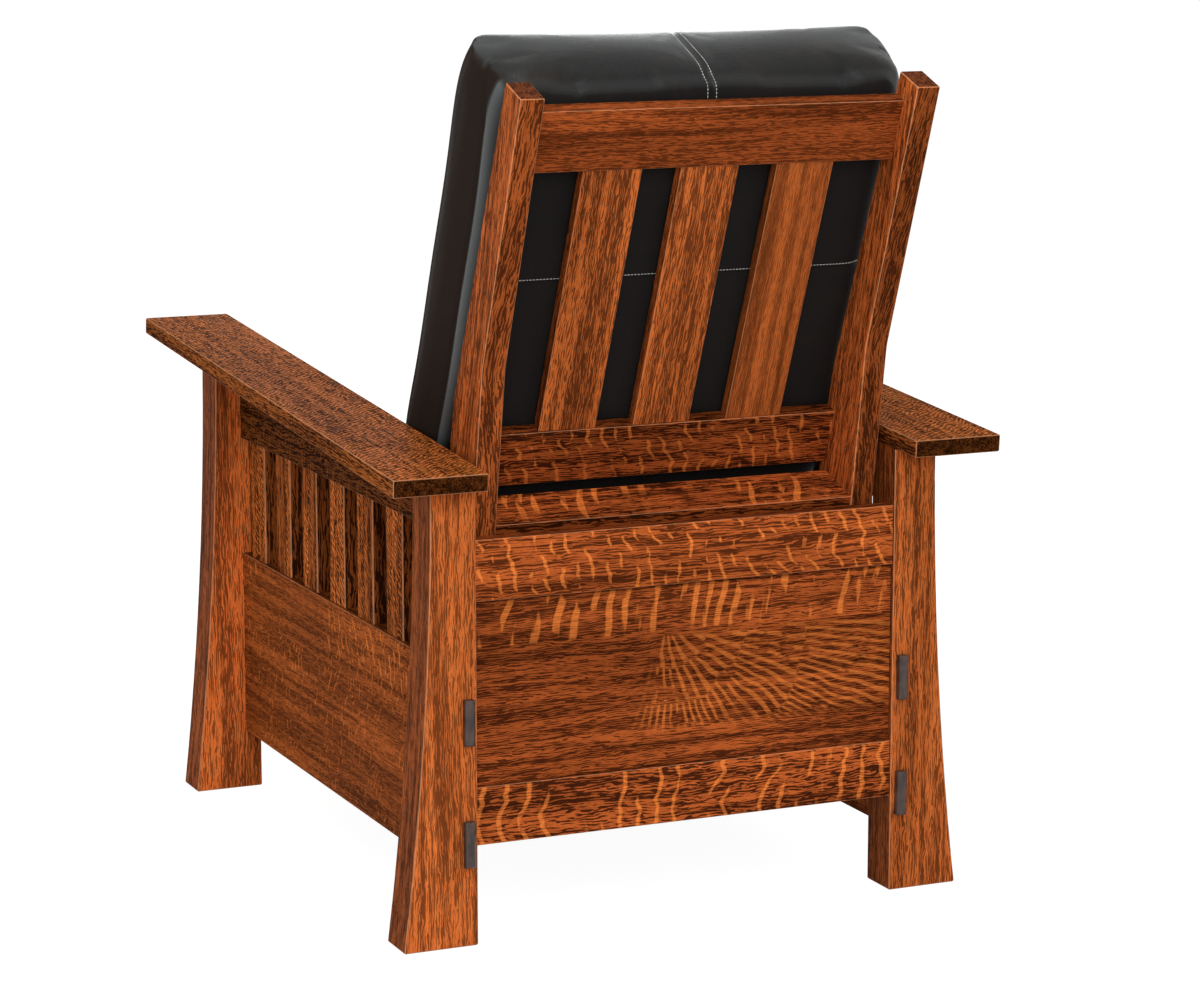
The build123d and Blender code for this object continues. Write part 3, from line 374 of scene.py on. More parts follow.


# tone and brown set the stain, dash, pitch and length the pores, rays and patch the flecks; edge is painted light and
# shade on the narrow faces: their colour is scaled darker below 1 and lighter above 1
def oak(name, grain, face, seed=0.0, tone=1.0, rays=(), boards=None, joints=None, edge=0.75, dash=1.0, brown=0.0,
        pitch=1.0, length=1.0, patch=0.36, specular=0.012):
    # Stained quarter-sawn oak. Dark pore dashes lie along the grain, crowded in the dark bands of the growth streaks;
    # the ray flecks lie over them on the wide faces. The rounded arrises get a painted highlight in a paler colour.
    material, tree, shader, end = newMaterial(name)
    source = add(tree, "ShaderNodeTexCoord").outputs
    spot = source["Object"]
    turn = grainTurn(grain, face)
    start = (seed * 1.37, seed * 0.61, seed * 2.13)
    place = add(tree, "ShaderNodeMapping", {"Vector": spot, "Location": start, "Rotation": turn}).outputs[0]
    normal = {"Vector": source["Normal"], "Rotation": turn}
    normal = add(tree, "ShaderNodeMapping", normal, vector_type="NORMAL").outputs[0]
    toneHere = tone
    if boards:
        place, toneHere = ownBoards(tree, spot, place, boards, seed, tone)
    sway = shift(tree, noise(tree, place, (3.0, 9, 14), 4.0, 0.5, output="Color"), (0.5, 0.5, 0.5), "SUBTRACT")
    waved = shift(tree, place, stretch(tree, sway, (0.0, 0.016, 0.016)))
    streak = noise(tree, waved, (2.4, 110, 110), 3.0, 0.6)
    broad = noise(tree, place, (2.2, 12, 16), 2.0)
    dashes = poreDashes(tree, place, waved, streak, dash, pitch, length)
    facing = split(tree, normal)
    endGrain, wide, narrow = [calc(tree, "ABSOLUTE", facing[i]) for i in range(3)]
    lines = rayFlecks(tree, spot, place, rays, patch, wide) if rays else 0.0

    light = tint(tree, brown, oakLook["light"], oakLook["brownLight"])
    dark = tint(tree, brown, oakLook["dark"], oakLook["brownDark"])
    colour = tint(tree, ramp(tree, streak, 0.62, 0.3, 0.0, 0.45), light, dark)
    colour = tint(tree, dashes, colour, dark)
    over = calc(tree, "MULTIPLY", lines, calc(tree, "MULTIPLY_ADD", dashes, -0.5, 1.0))
    colour = tint(tree, over, colour, oakLook["fleck"])
    shade = calc(tree, "MULTIPLY", ramp(tree, broad, 0.3, 0.7, 0.8, 1.16), toneHere)
    if joints:  # painted shadow in the recessed joints below and above
        height = split(tree, spot)[2]
        low, high = joints
        # painted shadow: darker within a few millimetres of the rails that overhang the recessed panel
        jointShadow = ramp(tree, height, low, low + 0.006, 0.3, 1.0)
        jointShadow = calc(tree, "MULTIPLY", jointShadow, ramp(tree, height, high - 0.009, high, 1.0, 0.25))
        shade = calc(tree, "MULTIPLY", shade, jointShadow)
    # painted shade and light: the narrow faces' colour is scaled by edge
    shade = calc(tree, "MULTIPLY", shade, ramp(tree, narrow, 0.6, 0.95, 1.0, edge))
    shade = calc(tree, "MULTIPLY", shade, ramp(tree, endGrain, 0.6, 0.95, 1.0, oakLook["endGrain"]))
    shades = add(tree, "ShaderNodeCombineXYZ", {0: shade, 1: shade, 2: shade}).outputs[0]
    colour = tint(tree, 1.0, colour, shades, "MULTIPLY")
    # painted highlight: the rounded arrises, where no face is square to an axis, are tinted paler and made less rough
    largest = calc(tree, "MAXIMUM", calc(tree, "MAXIMUM", endGrain, wide), narrow)
    arrisHighlight = ramp(tree, largest, 0.93, 0.8)
    colour = tint(tree, calc(tree, "MULTIPLY", arrisHighlight, 0.5), colour, oakLook["arrisHighlight"])
    tree.links.new(colour, shader.inputs["Base Color"])
    rough = calc(tree, "MULTIPLY_ADD", dashes, 0.16, oakLook["roughness"])
    rough = calc(tree, "MULTIPLY_ADD", lines, -0.06, rough)
    rough = calc(tree, "MULTIPLY_ADD", arrisHighlight, -0.2, rough)
    tree.links.new(calc(tree, "MULTIPLY_ADD", broad, 0.08, rough), shader.inputs["Roughness"])
    shader.inputs["Specular IOR Level"].default_value = specular
    height = calc(tree, "MULTIPLY_ADD", dashes, -0.8, calc(tree, "MULTIPLY", streak, 0.35))
    wear(tree, shader, calc(tree, "MULTIPLY_ADD", lines, 0.25, height), 0.3, 0.0006)
    return material


def leaning(degrees):
    # Directions along and out of a piece that leans back from upright.
    turn = math.radians(degrees)
    return (0, math.sin(turn), math.cos(turn)), (0, math.cos(turn), -math.sin(turn))


up, across, along = (0, 0, 1), (1, 0, 0), (0, 1, 0)
leans = {"slat": 22.7, "post": 15.0, "arm": 94.24, "board": 18.0}
slatUp, slatOut = leaning(leans["slat"])
postUp = leaning(leans["post"])[0]
armAlong, armUp = leaning(leans["arm"])
boardOut = leaning(leans["board"])[0]

# glued boards and slats with a figure of their own: the axis they are counted along, where they start, their width
sideSlats = (along, -0.3986, 0.0867)
sideBoards = (up, 0.0796, 0.0833)
panelBoards = (up, 0.1266, 0.1130)

# what pieces of a kind share
oakKinds = {
    "rearLeg": dict(grain=up, face=along, edge=0.48, pitch=0.8, brown=0.3),
    "frontLeg": dict(grain=up, face=along, edge=0.4, dash=0.76, pitch=0.85, brown=0.25),
    "arm": dict(grain=armAlong, face=armUp, tone=0.84, rays=("speck",), brown=0.7, edge=1.3, pitch=0.7, length=0.6,
                patch=0.1, specular=0.002),
    "apron": dict(grain=along, face=across, tone=0.42, brown=0.7, rays=("small",), patch=0.3, specular=0.003),
    "sideBoard": dict(grain=along, face=across, tone=0.98, brown=0.35, dash=0.7, pitch=0.7, length=0.7,
                      rays=("small", ("short", 0.262, 0.322)), boards=sideBoards, patch=0.38, specular=0.004),
    "sideSlats": dict(grain=up, face=across, tone=1.02, brown=0.45, rays=("speck",), boards=sideSlats, patch=0.4,
                      specular=0.004),
    "rail": dict(grain=across, face=along),
    "post": dict(grain=postUp, face=across, dash=0.85, pitch=0.85, brown=0.2),
    "backRail": dict(grain=across, face=slatOut, pitch=0.8),
    "backSlat": dict(grain=slatUp, face=slatOut, brown=0.3),
}
# edge, where given, scales the narrow faces' colour as painted light and shade, piece by piece
oakNodes = {
    "rear_leg_left": dict(oakKinds["rearLeg"], seed=1.0, tone=1.72, dash=0.74),
    "rear_leg_right": dict(oakKinds["rearLeg"], seed=2.0, tone=1.45, dash=0.78),
    "front_leg_left": dict(oakKinds["frontLeg"], seed=3.0, tone=1.85),
    "front_leg_right": dict(oakKinds["frontLeg"], seed=4.0, tone=1.8),
    "arm_left": dict(oakKinds["arm"], seed=5.0),
    "arm_right": dict(oakKinds["arm"], seed=6.0),
    "arm_apron_left": dict(oakKinds["apron"], seed=7.0),
    "arm_apron_right": dict(oakKinds["apron"], seed=8.0),
    "side_board_left": dict(oakKinds["sideBoard"], seed=9.0),
    "side_board_right": dict(oakKinds["sideBoard"], seed=10.0),
    "side_slats_left": dict(oakKinds["sideSlats"], seed=11.0),
    "side_slats_right": dict(oakKinds["sideSlats"], seed=12.0),
    "base_top_rail": dict(oakKinds["rail"], seed=13.0, tone=1.06, rays=("short",), dash=0.88, pitch=0.9, length=1.7,
                          patch=0.26),
    "base_bottom_rail": dict(oakKinds["rail"], seed=14.0, tone=1.08, rays=("long",), pitch=0.9, length=0.8, patch=0.2),
    # joints gives the heights of the painted shadow under and over the recessed panel
    "base_back_panel": dict(oakKinds["rail"], seed=15.0, tone=0.79, dash=0.9, pitch=0.72, length=0.9, patch=0.2,
                            joints=(0.189, 0.414), boards=panelBoards, rays=(("broad", 0.354, 0.43), "fan")),
    "back_post_left": dict(oakKinds["post"], seed=16.0, tone=1.5, edge=0.7),
    "back_post_right": dict(oakKinds["post"], seed=17.0, tone=1.45, edge=0.46),
    "back_top_rail": dict(oakKinds["backRail"], seed=18.0, tone=0.85, dash=0.7, length=0.6),
    "back_lower_rail": dict(oakKinds["backRail"], seed=19.0, tone=0.8, rays=("short",)),
    "back_bottom_board": dict(grain=across, face=boardOut, seed=20.0, tone=1.15, rays=("broad",), patch=0.4),
    "back_slat_1": dict(oakKinds["backSlat"], seed=21.0, tone=1.06, dash=0.55, pitch=0.6, length=0.8),
    "back_slat_2": dict(oakKinds["backSlat"], seed=22.0, tone=1.46, dash=0.78, pitch=0.8, length=0.85),
    "back_slat_3": dict(oakKinds["backSlat"], seed=23.0, tone=1.38, dash=0.82, pitch=0.75, length=0.75),
}


def dress(name, material):
    data = nodes[name].data
    data.materials.clear()
    data.materials.append(material)


for name, look in oakNodes.items():
    dress(name, oak(f"oak_{name}", **look))
print("oak done:", len(oakNodes), "pieces")

# other woods and metals


def plainWood(name, grain, face, first, last, seed=0.0, roughness=0.6):
    # Frame timber or dark key wood: a streak noise between two colours, with short pores.
    material, tree, shader, end = newMaterial(name)
    spot = add(tree, "ShaderNodeTexCoord").outputs["Object"]
    start, turn = (seed, seed * 0.7, seed * 0.3), grainTurn(grain, face)
    place = add(tree, "ShaderNodeMapping", {"Vector": spot, "Location": start, "Rotation": turn}).outputs[0]
    streak = noise(tree, place, (3, 110, 60), 4.0, 0.6, 0.1)
    pores = ramp(tree, noise(tree, place, (90, 900, 900), 1.0), 0.58, 0.7)
    colour = tint(tree, ramp(tree, streak, 0.32, 0.66), first, last)
    colour = tint(tree, calc(tree, "MULTIPLY", pores, 0.4), colour, first)
    tree.links.new(colour, shader.inputs["Base Color"])
    tree.links.new(calc(tree, "MULTIPLY_ADD", streak, 0.15, roughness - 0.08), shader.inputs["Roughness"])
    wear(tree, shader, calc(tree, "MULTIPLY_ADD", pores, -0.6, streak), 0.3, 0.0005)
    return material


plainColours = {
    "bare": (linear(150, 104, 62), linear(206, 166, 116)),
    "stained": (linear(56, 26, 13), linear(112, 54, 26)),
    "key": (linear(34, 23, 19), linear(74, 55, 47)),
}
dress("tenon_keys", plainWood("keyWood", along, across, *plainColours["key"], 3.0, 0.4))
framePieces = {
    "base_stretcher": (across, along, "bare"),
    "mechanism_cleat_left": (along, across, "bare"),
    "mechanism_cleat_right": (along, across, "bare"),
    "seat_front_rail": (across, up, "stained"),
    "seat_rear_rail": (across, up, "bare"),
    "seat_side_rail_left": (along, up, "bare"),
    "seat_side_rail_right": (along, up, "bare"),
    "footrest_board": (across, along, "stained"),
}
firstSeed = 5.0
for i, (name, (grain, face, stain)) in enumerate(framePieces.items()):
    dress(name, plainWood(f"frameWood_{name}", grain, face, *plainColours[stain], firstSeed + i))

metalLook = {
    "blackSteel": {
        "colour": linear(38, 38, 40), "wearColour": linear(86, 84, 82), "metallic": 0.75, "roughness": 0.42,
    },
    "zincSteel": {
        "colour": linear(168, 168, 164), "wearColour": linear(206, 204, 196), "metallic": 1.0, "roughness": 0.34,
    },
}


def metal(name, look):
    # Plated or enamelled steel: cloudy roughness, fine rolling lines along Y and lighter rubbed spots.
    material, tree, shader, end = newMaterial(name)
    place = add(tree, "ShaderNodeTexCoord").outputs["Object"]
    cloud = noise(tree, place, (40, 40, 40), 4.0, 0.6)
    lines = noise(tree, place, (1400, 30, 1400), 2.0)
    wearAndSheen = ramp(tree, noise(tree, place, (90, 60, 90), 5.0, 0.7), 0.56, 0.74)
    colour = tint(tree, calc(tree, "MULTIPLY", wearAndSheen, 0.5), look["colour"], look["wearColour"])
    tree.links.new(colour, shader.inputs["Base Color"])
    shader.inputs["Metallic"].default_value = look["metallic"]
    rough = calc(tree, "MULTIPLY_ADD", cloud, 0.18, look["roughness"] - 0.09)
    tree.links.new(calc(tree, "MULTIPLY_ADD", lines, 0.06, rough), shader.inputs["Roughness"])
    wear(tree, shader, calc(tree, "ADD", lines, cloud), 0.12, 0.0003)
    return material


metals = {name: metal(name, look) for name, look in metalLook.items()}
metalSlots = {"linkage_steel": "blackSteel", "zinc_steel": "zincSteel"}
for row in frame["record"]["subparts"]:
    if row["material_slot"] in metalSlots:
        dress(row["node"], metals[metalSlots[row["material_slot"]]])


webbingLook = {
    "warp": 0.0026,
    "weft": 0.0034,
    "dark": linear(30, 28, 27),
    "light": linear(74, 70, 64),
    "fuzz": linear(110, 104, 96),
}


def webbingCloth(look):
    # Woven elastic webbing: warp ribs crossed by weft ribs, the product of two sines.
    material, tree, shader, end = newMaterial("webbingCloth")
    place = add(tree, "ShaderNodeTexCoord").outputs["Object"]
    parts = split(tree, place)
    warp = calc(tree, "SINE", calc(tree, "MULTIPLY", parts[1], 2 * math.pi / look["warp"]))
    weft = calc(tree, "SINE", calc(tree, "MULTIPLY", parts[0], 2 * math.pi / look["weft"]))
    weave = calc(tree, "MULTIPLY_ADD", calc(tree, "MULTIPLY", warp, weft), 0.5, 0.5)
    fuzz = noise(tree, place, (700, 700, 700), 3.0)
    colour = tint(tree, weave, look["dark"], look["light"])
    colour = tint(tree, ramp(tree, fuzz, 0.5, 0.75, 0.0, 0.4), colour, look["fuzz"])
    tree.links.new(colour, shader.inputs["Base Color"])
    tree.links.new(calc(tree, "MULTIPLY_ADD", fuzz, 0.1, 0.8), shader.inputs["Roughness"])
    wear(tree, shader, calc(tree, "MULTIPLY_ADD", fuzz, 0.3, weave), 0.6, 0.0006)
    return material


dress("seat_webbing", webbingCloth(webbingLook))
print("frame wood, metals and webbing done")

# leather and thread

leatherLook = {
    "dark": linear(12, 12, 12),
    "light": linear(26, 24, 22),
    "worn": linear(50, 38, 30),
    "side": linear(38, 29, 24),
    "resting": linear(38, 35, 34),
    "paintedSheen": linear(86, 90, 90),
    "roughness": 0.36,
    # paintedSheen is the colour of the painted highlight on the back cushion's rear corners and crest
    "gloss": 0.2,
    "pebble": 0.0013,
    "creases": 150.0,
}


def leatherPanels(tree, source, look, panel, colour):
    # In front of the side seam, at the height panel, the sides are a dull brown. Behind it the corner and the crest
    # get a painted sheen, a paler colour standing for reflected light, and the resting face is dull. Gives the colour
    # and where the leather is dull.
    out = np.array(look["out"])
    height = dot(tree, source["Object"], look["out"])
    height = calc(tree, "SUBTRACT", height, float(np.array(look["origin"]) @ out))
    upward = dot(tree, source["Normal"], look["along"])
    sideways = calc(tree, "ABSOLUTE", split(tree, source["Normal"])[0])
    front = product(tree, ramp(tree, sideways, 0.55, 0.75), ramp(tree, height, panel - 0.001, panel + 0.001))
    # painted highlight on the rounded rear corner behind the side seam
    wearAndSheen = product(tree, ramp(tree, sideways, 0.5, 0.85), ramp(tree, height, panel - 0.002, panel - 0.004),
                     ramp(tree, height, panel - 0.024, panel - 0.006))
    # painted highlight along the crest near the top
    crestHighlight = product(tree, ramp(tree, upward, 0.5, 0.9), ramp(tree, height, 0.06, 0.13, 0.0, 0.55))
    rest = ramp(tree, dot(tree, source["Normal"], tuple(-out)), 0.7, 0.95)
    colour = tint(tree, calc(tree, "MULTIPLY", front, 0.9), colour, leatherLook["side"])
    colour = tint(tree, calc(tree, "MULTIPLY", rest, 0.6), colour, leatherLook["resting"])
    paintedSheen = calc(tree, "MAXIMUM", calc(tree, "MULTIPLY", wearAndSheen, 0.8), crestHighlight)
    return tint(tree, paintedSheen, colour, leatherLook["paintedSheen"]), calc(tree, "MAXIMUM", rest, front)


def leather(name, look, panel=None):
    # Black upholstery leather: pebbles from a cell noise, creases from warped cell edges, cloudy gloss.
    material, tree, shader, end = newMaterial(name)
    source = add(tree, "ShaderNodeTexCoord").outputs
    place = source["Object"]
    warped = shift(tree, place, stretch(tree, noise(tree, place, (60, 60, 60), 2.0, output="Color"), (0.006,) * 3))
    pebble = {"Vector": warped, "Scale": 1 / leatherLook["pebble"]}
    pebble = add(tree, "ShaderNodeTexVoronoi", pebble, feature="SMOOTH_F1").outputs["Distance"]
    crease = {"Vector": warped, "Scale": leatherLook["creases"]}
    crease = add(tree, "ShaderNodeTexVoronoi", crease, feature="DISTANCE_TO_EDGE").outputs["Distance"]
    creases = ramp(tree, crease, 0.0, 0.09, 1.0, 0.0)
    cloud = noise(tree, place, (6, 6, 6), 4.0, 0.6)
    pull = noise(tree, place, (28, 28, 28), 3.0, 0.55)
    colour = tint(tree, ramp(tree, cloud, 0.35, 0.7), leatherLook["dark"], leatherLook["light"])
    colour = tint(tree, ramp(tree, pull, 0.55, 0.8, 0.0, 0.35), colour, leatherLook["worn"])
    # painted shade: the crease lines are darkened in colour on top of their bump
    colour = tint(tree, calc(tree, "MULTIPLY", creases, 0.4), colour, leatherLook["dark"])
    rough = calc(tree, "MULTIPLY_ADD", cloud, 0.16, leatherLook["roughness"] - 0.08)
    rough = calc(tree, "MULTIPLY_ADD", creases, 0.06, rough)
    if panel:
        # the back cushion's panels, with the painted sheen on its corners and crest
        colour, dull = leatherPanels(tree, source, look, panel, colour)
        rough = calc(tree, "MULTIPLY_ADD", dull, 0.24, rough)
        gloss = calc(tree, "MULTIPLY_ADD", dull, -0.17, leatherLook["gloss"])
        tree.links.new(gloss, shader.inputs["Specular IOR Level"])
    else:
        shader.inputs["Specular IOR Level"].default_value = leatherLook["gloss"]
    tree.links.new(colour, shader.inputs["Base Color"])
    tree.links.new(rough, shader.inputs["Roughness"])
    height = calc(tree, "MULTIPLY_ADD", creases, -0.5, calc(tree, "MULTIPLY", pebble, 0.7))
    wear(tree, shader, calc(tree, "MULTIPLY_ADD", pull, 2.0, height), 0.35, 0.0006)
    return material


def threadMaterial(name, first, last):
    # Twisted sewing thread: slanting plies as a sine across the stitch, with a little fuzz.
    material, tree, shader, end = newMaterial(name)
    place = add(tree, "ShaderNodeTexCoord").outputs["Object"]
    plies = calc(tree, "MULTIPLY_ADD", calc(tree, "SINE", dot(tree, place, (3200, 3200, 3200))), 0.5, 0.5)
    colour = tint(tree, plies, first, last)
    colour = tint(tree, ramp(tree, noise(tree, place, (900, 900, 900), 2.0), 0.5, 0.8, 0.0, 0.4), colour, first)
    tree.links.new(colour, shader.inputs["Base Color"])
    tree.links.new(calc(tree, "MULTIPLY_ADD", plies, 0.1, 0.6), shader.inputs["Roughness"])
    wear(tree, shader, plies, 0.4, 0.0002)
    return material


# cushions

# the back cushion stands on the slats' face, which passes through (backY, backZ) and leans by this rise and run; it
# starts this far below that point, with this gap to the slats
backY, backZ = 0.29465, 0.600
backRise, backRun = 0.9225, 0.3859
backDrop, backGap = 0.1503, 0.0010
backOrigin = (
    0.0,
    backY - backDrop * backRun - backGap * backRise,
    backZ - backDrop * backRise + backGap * backRun,
)

# size across, along and out; edge radii in front and at the rear; height of the crown; how far the sides are drawn in;
# how far the leather may stand proud of the CAD cushion on its free side; voxel size; pressure of the cloth and how
# far it may move; share of the space that the filling takes
cushionLook = {
    "back": {
        "origin": backOrigin, "along": (0.0, backRun, backRise), "out": (0.0, -backRise, backRun),
        "size": (0.5440, 0.6035, 0.1660), "edge": 0.028, "rear": 0.050, "crown": 0.016, "pull": 0.004,
        "proud": 0.005, "voxel": 0.0070, "pressure": 4.0, "cap": 0.024, "fill": 0.7,
    },
    "seat": {
        "origin": (0.0, -0.4422, 0.3493), "along": (0.0, 1.0, 0.0), "out": (0.0, 0.0, 1.0),
        "size": (0.5280, 0.6555, 0.1125), "edge": 0.030, "rear": 0.024, "crown": 0.014, "pull": 0.004,
        "proud": 0.003, "voxel": 0.0066, "pressure": 4.0, "cap": 0.022, "fill": 0.75,
    },
    "footrest": {
        "origin": (0.0, -0.4065, 0.1050), "along": (0.0, 0.0, 1.0), "out": (0.0, -1.0, 0.0),
        "size": (0.5080, 0.2115, 0.0495), "edge": 0.018, "rear": 0.014, "crown": 0.008, "pull": 0.003,
        "proud": 0.002, "voxel": 0.0048, "pressure": 4.0, "cap": 0.008, "fill": 0.8,
    },
}
clothLook = {"quality": 5, "mass": 0.3, "stretch": 22, "shear": 12, "bend": 0.8, "frames": 20}
# the shell: how far inside its size it starts, its grid, the seam depth from which points are pinned, the height up to
# which the resting face is pressed flat and by how much, and the distances kept from the CAD cushion's skin
shellLook = {"inset": 0.006, "grid": 0.012, "pin": 0.0012, "rest": 0.16, "flat": 0.92, "first": 0.0004, "last": 0.0002}


def makeObject(name, points, faces):
    # Mesh object from arrays of points and faces, smooth.
    data = bpy.data.meshes.new(name)
    data.from_pydata(np.asarray(points).tolist(), [], [list(map(int, f)) for f in faces])
    data.update()
    data.shade_smooth()
    made = bpy.data.objects.new(name, data)
    scene.collection.objects.link(made)
    return made


def readPoints(data):
    points = np.zeros(len(data.vertices) * 3, np.float32)
    data.vertices.foreach_get("co", points)
    return points.reshape(-1, 3).astype(float)


def writePoints(data, points):
    data.vertices.foreach_set("co", np.ascontiguousarray(points, np.float32).ravel())
    data.update()


def localAxes(look):
    # Rows: across, along and out of the cushion.
    alongAxis, outAxis = np.array(look["along"]), np.array(look["out"])
    return np.array([np.cross(alongAxis, outAxis), alongAxis, outAxis])


def toWorld(look, points):
    return points @ localAxes(look) + np.array(look["origin"])


def toLocal(look, points):
    return (points - np.array(look["origin"])) @ localAxes(look).T


def roundedBox(half, front, rear, spacing):
    # Six grids over a box; each point is drawn in to a smaller box and pushed out again by the edge radius, which goes
    # from the rear one to the front one on the way.
    points, faces, count = [], [], 0
    half = np.array(half)
    for axis in range(3):
        first, second = (axis + 1) % 3, (axis + 2) % 3
        for sign in (-1, 1):
            steps = [max(2, int(2 * half[a] / spacing)) for a in (first, second)]
            lines = [np.linspace(-1, 1, s + 1) * half[a] for s, a in zip(steps, (first, second))]
            grid = np.stack(np.meshgrid(*lines, indexing="ij"), -1)
            place = np.zeros((*grid.shape[:2], 3))
            place[..., first], place[..., second], place[..., axis] = grid[..., 0], grid[..., 1], sign * half[axis]
            index = np.arange(place.shape[0] * place.shape[1]).reshape(place.shape[:2]) + count
            quads = np.stack([index[:-1, :-1], index[1:, :-1], index[1:, 1:], index[:-1, 1:]], -1).reshape(-1, 4)
            points.append(place.reshape(-1, 3))
            faces.append(quads if sign > 0 else quads[:, ::-1])
            count += place.shape[0] * place.shape[1]
    points = np.concatenate(points)
    share = np.clip((points[:, 2:] + half[2] - rear) / (2 * half[2] - rear - front), 0, 1)
    radius = rear + (front - rear) * share
    inner = np.clip(points, radius - half, half - radius)
    away = points - inner
    away /= np.maximum(np.linalg.norm(away, axis=1, keepdims=True), 1e-9)
    return inner + away * radius, np.concatenate(faces)


def keepWithin(local, look, solid, margin):
    # Points outside the CAD cushion, or nearer its skin than the margin, are drawn back in along its nearest normal.
    # On the free side, in front of the middle, the leather may stand proud of it.
    free = np.clip((local[:, 2] / look["size"][2] - 0.4) / 0.2, 0, 1)
    margins = margin - free * (look["proud"] + margin)
    turn, place = np.array(solid.matrix_world.to_3x3()), np.array(solid.matrix_world.translation)
    corners = toLocal(look, readPoints(solid.data) @ turn.T + place)
    tree = BVHTree.FromPolygons(corners.tolist(), [tuple(p.vertices) for p in solid.data.polygons])
    kept = local.copy()
    for i, point in enumerate(local):
        spot, normal = tree.find_nearest(Vector(point))[:2]
        depth = (Vector(point) - spot).dot(normal)
        if depth > -margins[i]:
            kept[i] = np.array(spot) - np.array(normal) * margins[i]
    return kept


def mergeDoubles(data, distance=1e-5):
    mesh = bmesh.new()
    mesh.from_mesh(data)
    bmesh.ops.remove_doubles(mesh, verts=mesh.verts, dist=distance)
    bmesh.ops.recalc_face_normals(mesh, faces=mesh.faces)
    mesh.to_mesh(data)
    mesh.free()


def applyModifiers(made):
    # Bakes the live modifiers into the object's own mesh.
    graph = bpy.context.evaluated_depsgraph_get()
    data = bpy.data.meshes.new_from_object(made.evaluated_get(graph))
    old = made.data
    made.modifiers.clear()
    made.data = data
    bpy.data.meshes.remove(old)
    made.data.shade_smooth()


def swell(made, look):
    # Inflates the shell as cloth under pressure; seams in the pinned group stay where they are.
    before = readPoints(made.data)
    cloth = made.modifiers.new("cloth", "CLOTH")
    settings = cloth.settings
    settings.quality = clothLook["quality"]
    settings.mass = clothLook["mass"]
    settings.tension_stiffness = settings.compression_stiffness = clothLook["stretch"]
    settings.shear_stiffness = clothLook["shear"]
    settings.bending_stiffness = clothLook["bend"]
    settings.use_pressure = True
    settings.uniform_pressure_force = look["pressure"]
    settings.effector_weights.gravity = 0
    settings.vertex_group_mass = "pinned"
    cloth.collision_settings.use_self_collision = False
    for step in range(1, clothLook["frames"] + 1):
        scene.frame_set(step)
    applyModifiers(made)
    moved = readPoints(made.data) - before
    reach = np.linalg.norm(moved, axis=1, keepdims=True)
    writePoints(made.data, before + moved * np.minimum(1, look["cap"] / np.maximum(reach, 1e-9)))
    scene.frame_set(1)


def readNormals(data):
    normals = np.zeros(len(data.vertices) * 3, np.float32)
    data.vertices.foreach_get("normal", normals)
    return normals.reshape(-1, 3).astype(float)


def pressFlat(local, look):
    # The resting face lies flat, up to a share of the height; the flattening fades over the edge radius.
    size = np.array(look["size"])
    flat = local[:, 2] < shellLook["rest"] * size[2]
    inside = np.minimum(size[0] / 2 - np.abs(local[:, 0]), np.minimum(local[:, 1], size[1] - local[:, 1]))
    inside = np.clip(inside[flat] / look["rear"], 0, 1)
    local[flat, 2] *= (1 - inside * shellLook["flat"])


def cushionShell(name, look, seams, solid):
    # Cushion: a rounded box, crowned by (1 - x^2)(1 - y^2), with sides drawn in between the corners, then remeshed,
    # swelled, fitted back to the space it stands in and kept within the CAD cushion. seams(local, size) gives each
    # point's depth below the skin.
    size = np.array(look["size"])
    half = size / 2 - shellLook["inset"]
    points, faces = roundedBox(half, look["edge"], look["rear"], shellLook["grid"])
    share = points / half
    points[:, 2] += look["crown"] * (1 - share[:, 0] ** 2) * (1 - share[:, 1] ** 2) * (share[:, 2] > -0.2)
    points[:, 0] -= np.sign(points[:, 0]) * look["pull"] * (1 - share[:, 1] ** 2) * np.abs(share[:, 0]) ** 3
    points[:, 1] -= np.sign(points[:, 1]) * look["pull"] * (1 - share[:, 0] ** 2) * np.abs(share[:, 1]) ** 3
    points += (0, size[1] / 2, size[2] / 2)
    made = makeObject(name, points, faces)
    mergeDoubles(made.data)
    remesh = made.modifiers.new("remesh", "REMESH")
    remesh.mode = "VOXEL"
    remesh.voxel_size = look["voxel"]
    applyModifiers(made)
    held = made.vertex_groups.new(name="pinned")
    depth = seams(readPoints(made.data), size)
    for index in np.nonzero(depth > shellLook["pin"])[0]:
        held.add([int(index)], 1.0, "REPLACE")
    swell(made, look)
    local = readPoints(made.data)
    low, high = local.min(0), local.max(0)
    target = np.array([[-size[0] / 2, 0, 0], [size[0] / 2, size[1], size[2]]])
    local = target[0] + (local - low) * (target[1] - target[0]) / (high - low)
    pressFlat(local, look)
    writePoints(made.data, keepWithin(local, look, solid, shellLook["first"]))
    finer = made.modifiers.new("finer", "SUBSURF")
    finer.levels = finer.render_levels = 1
    applyModifiers(made)
    local = readPoints(made.data)
    sunk = local - readNormals(made.data) * seams(local, size)[:, None]
    writePoints(made.data, toWorld(look, keepWithin(sunk, look, solid, shellLook["last"])))
    return made


def groove(distance, width, depth):
    return depth * np.exp(-((distance / width) ** 2))


# heights of the back cushion's side seam, of its bend near the top and of the front welt, how far up the cross seam
# lies, and the main grooves' depth and width; for the other seams a height, if there is one, then width and depth
backSeams = {
    "side": 0.044, "bend": 0.045, "bendReach": 0.085, "front": 0.128, "row": 0.340, "depth": 0.0030, "width": 0.0044,
    "sideGroove": (0.0034, 0.0022), "frontGroove": (0.004, 0.0026),
}
seatSeams = {"middle": (0.0052, 0.004), "welt": (0.086, 0.004, 0.003), "foot": (0.02, 0.004, 0.002)}
padSeams = {"middle": (0.0045, 0.003), "welt": (0.034, 0.003, 0.002)}


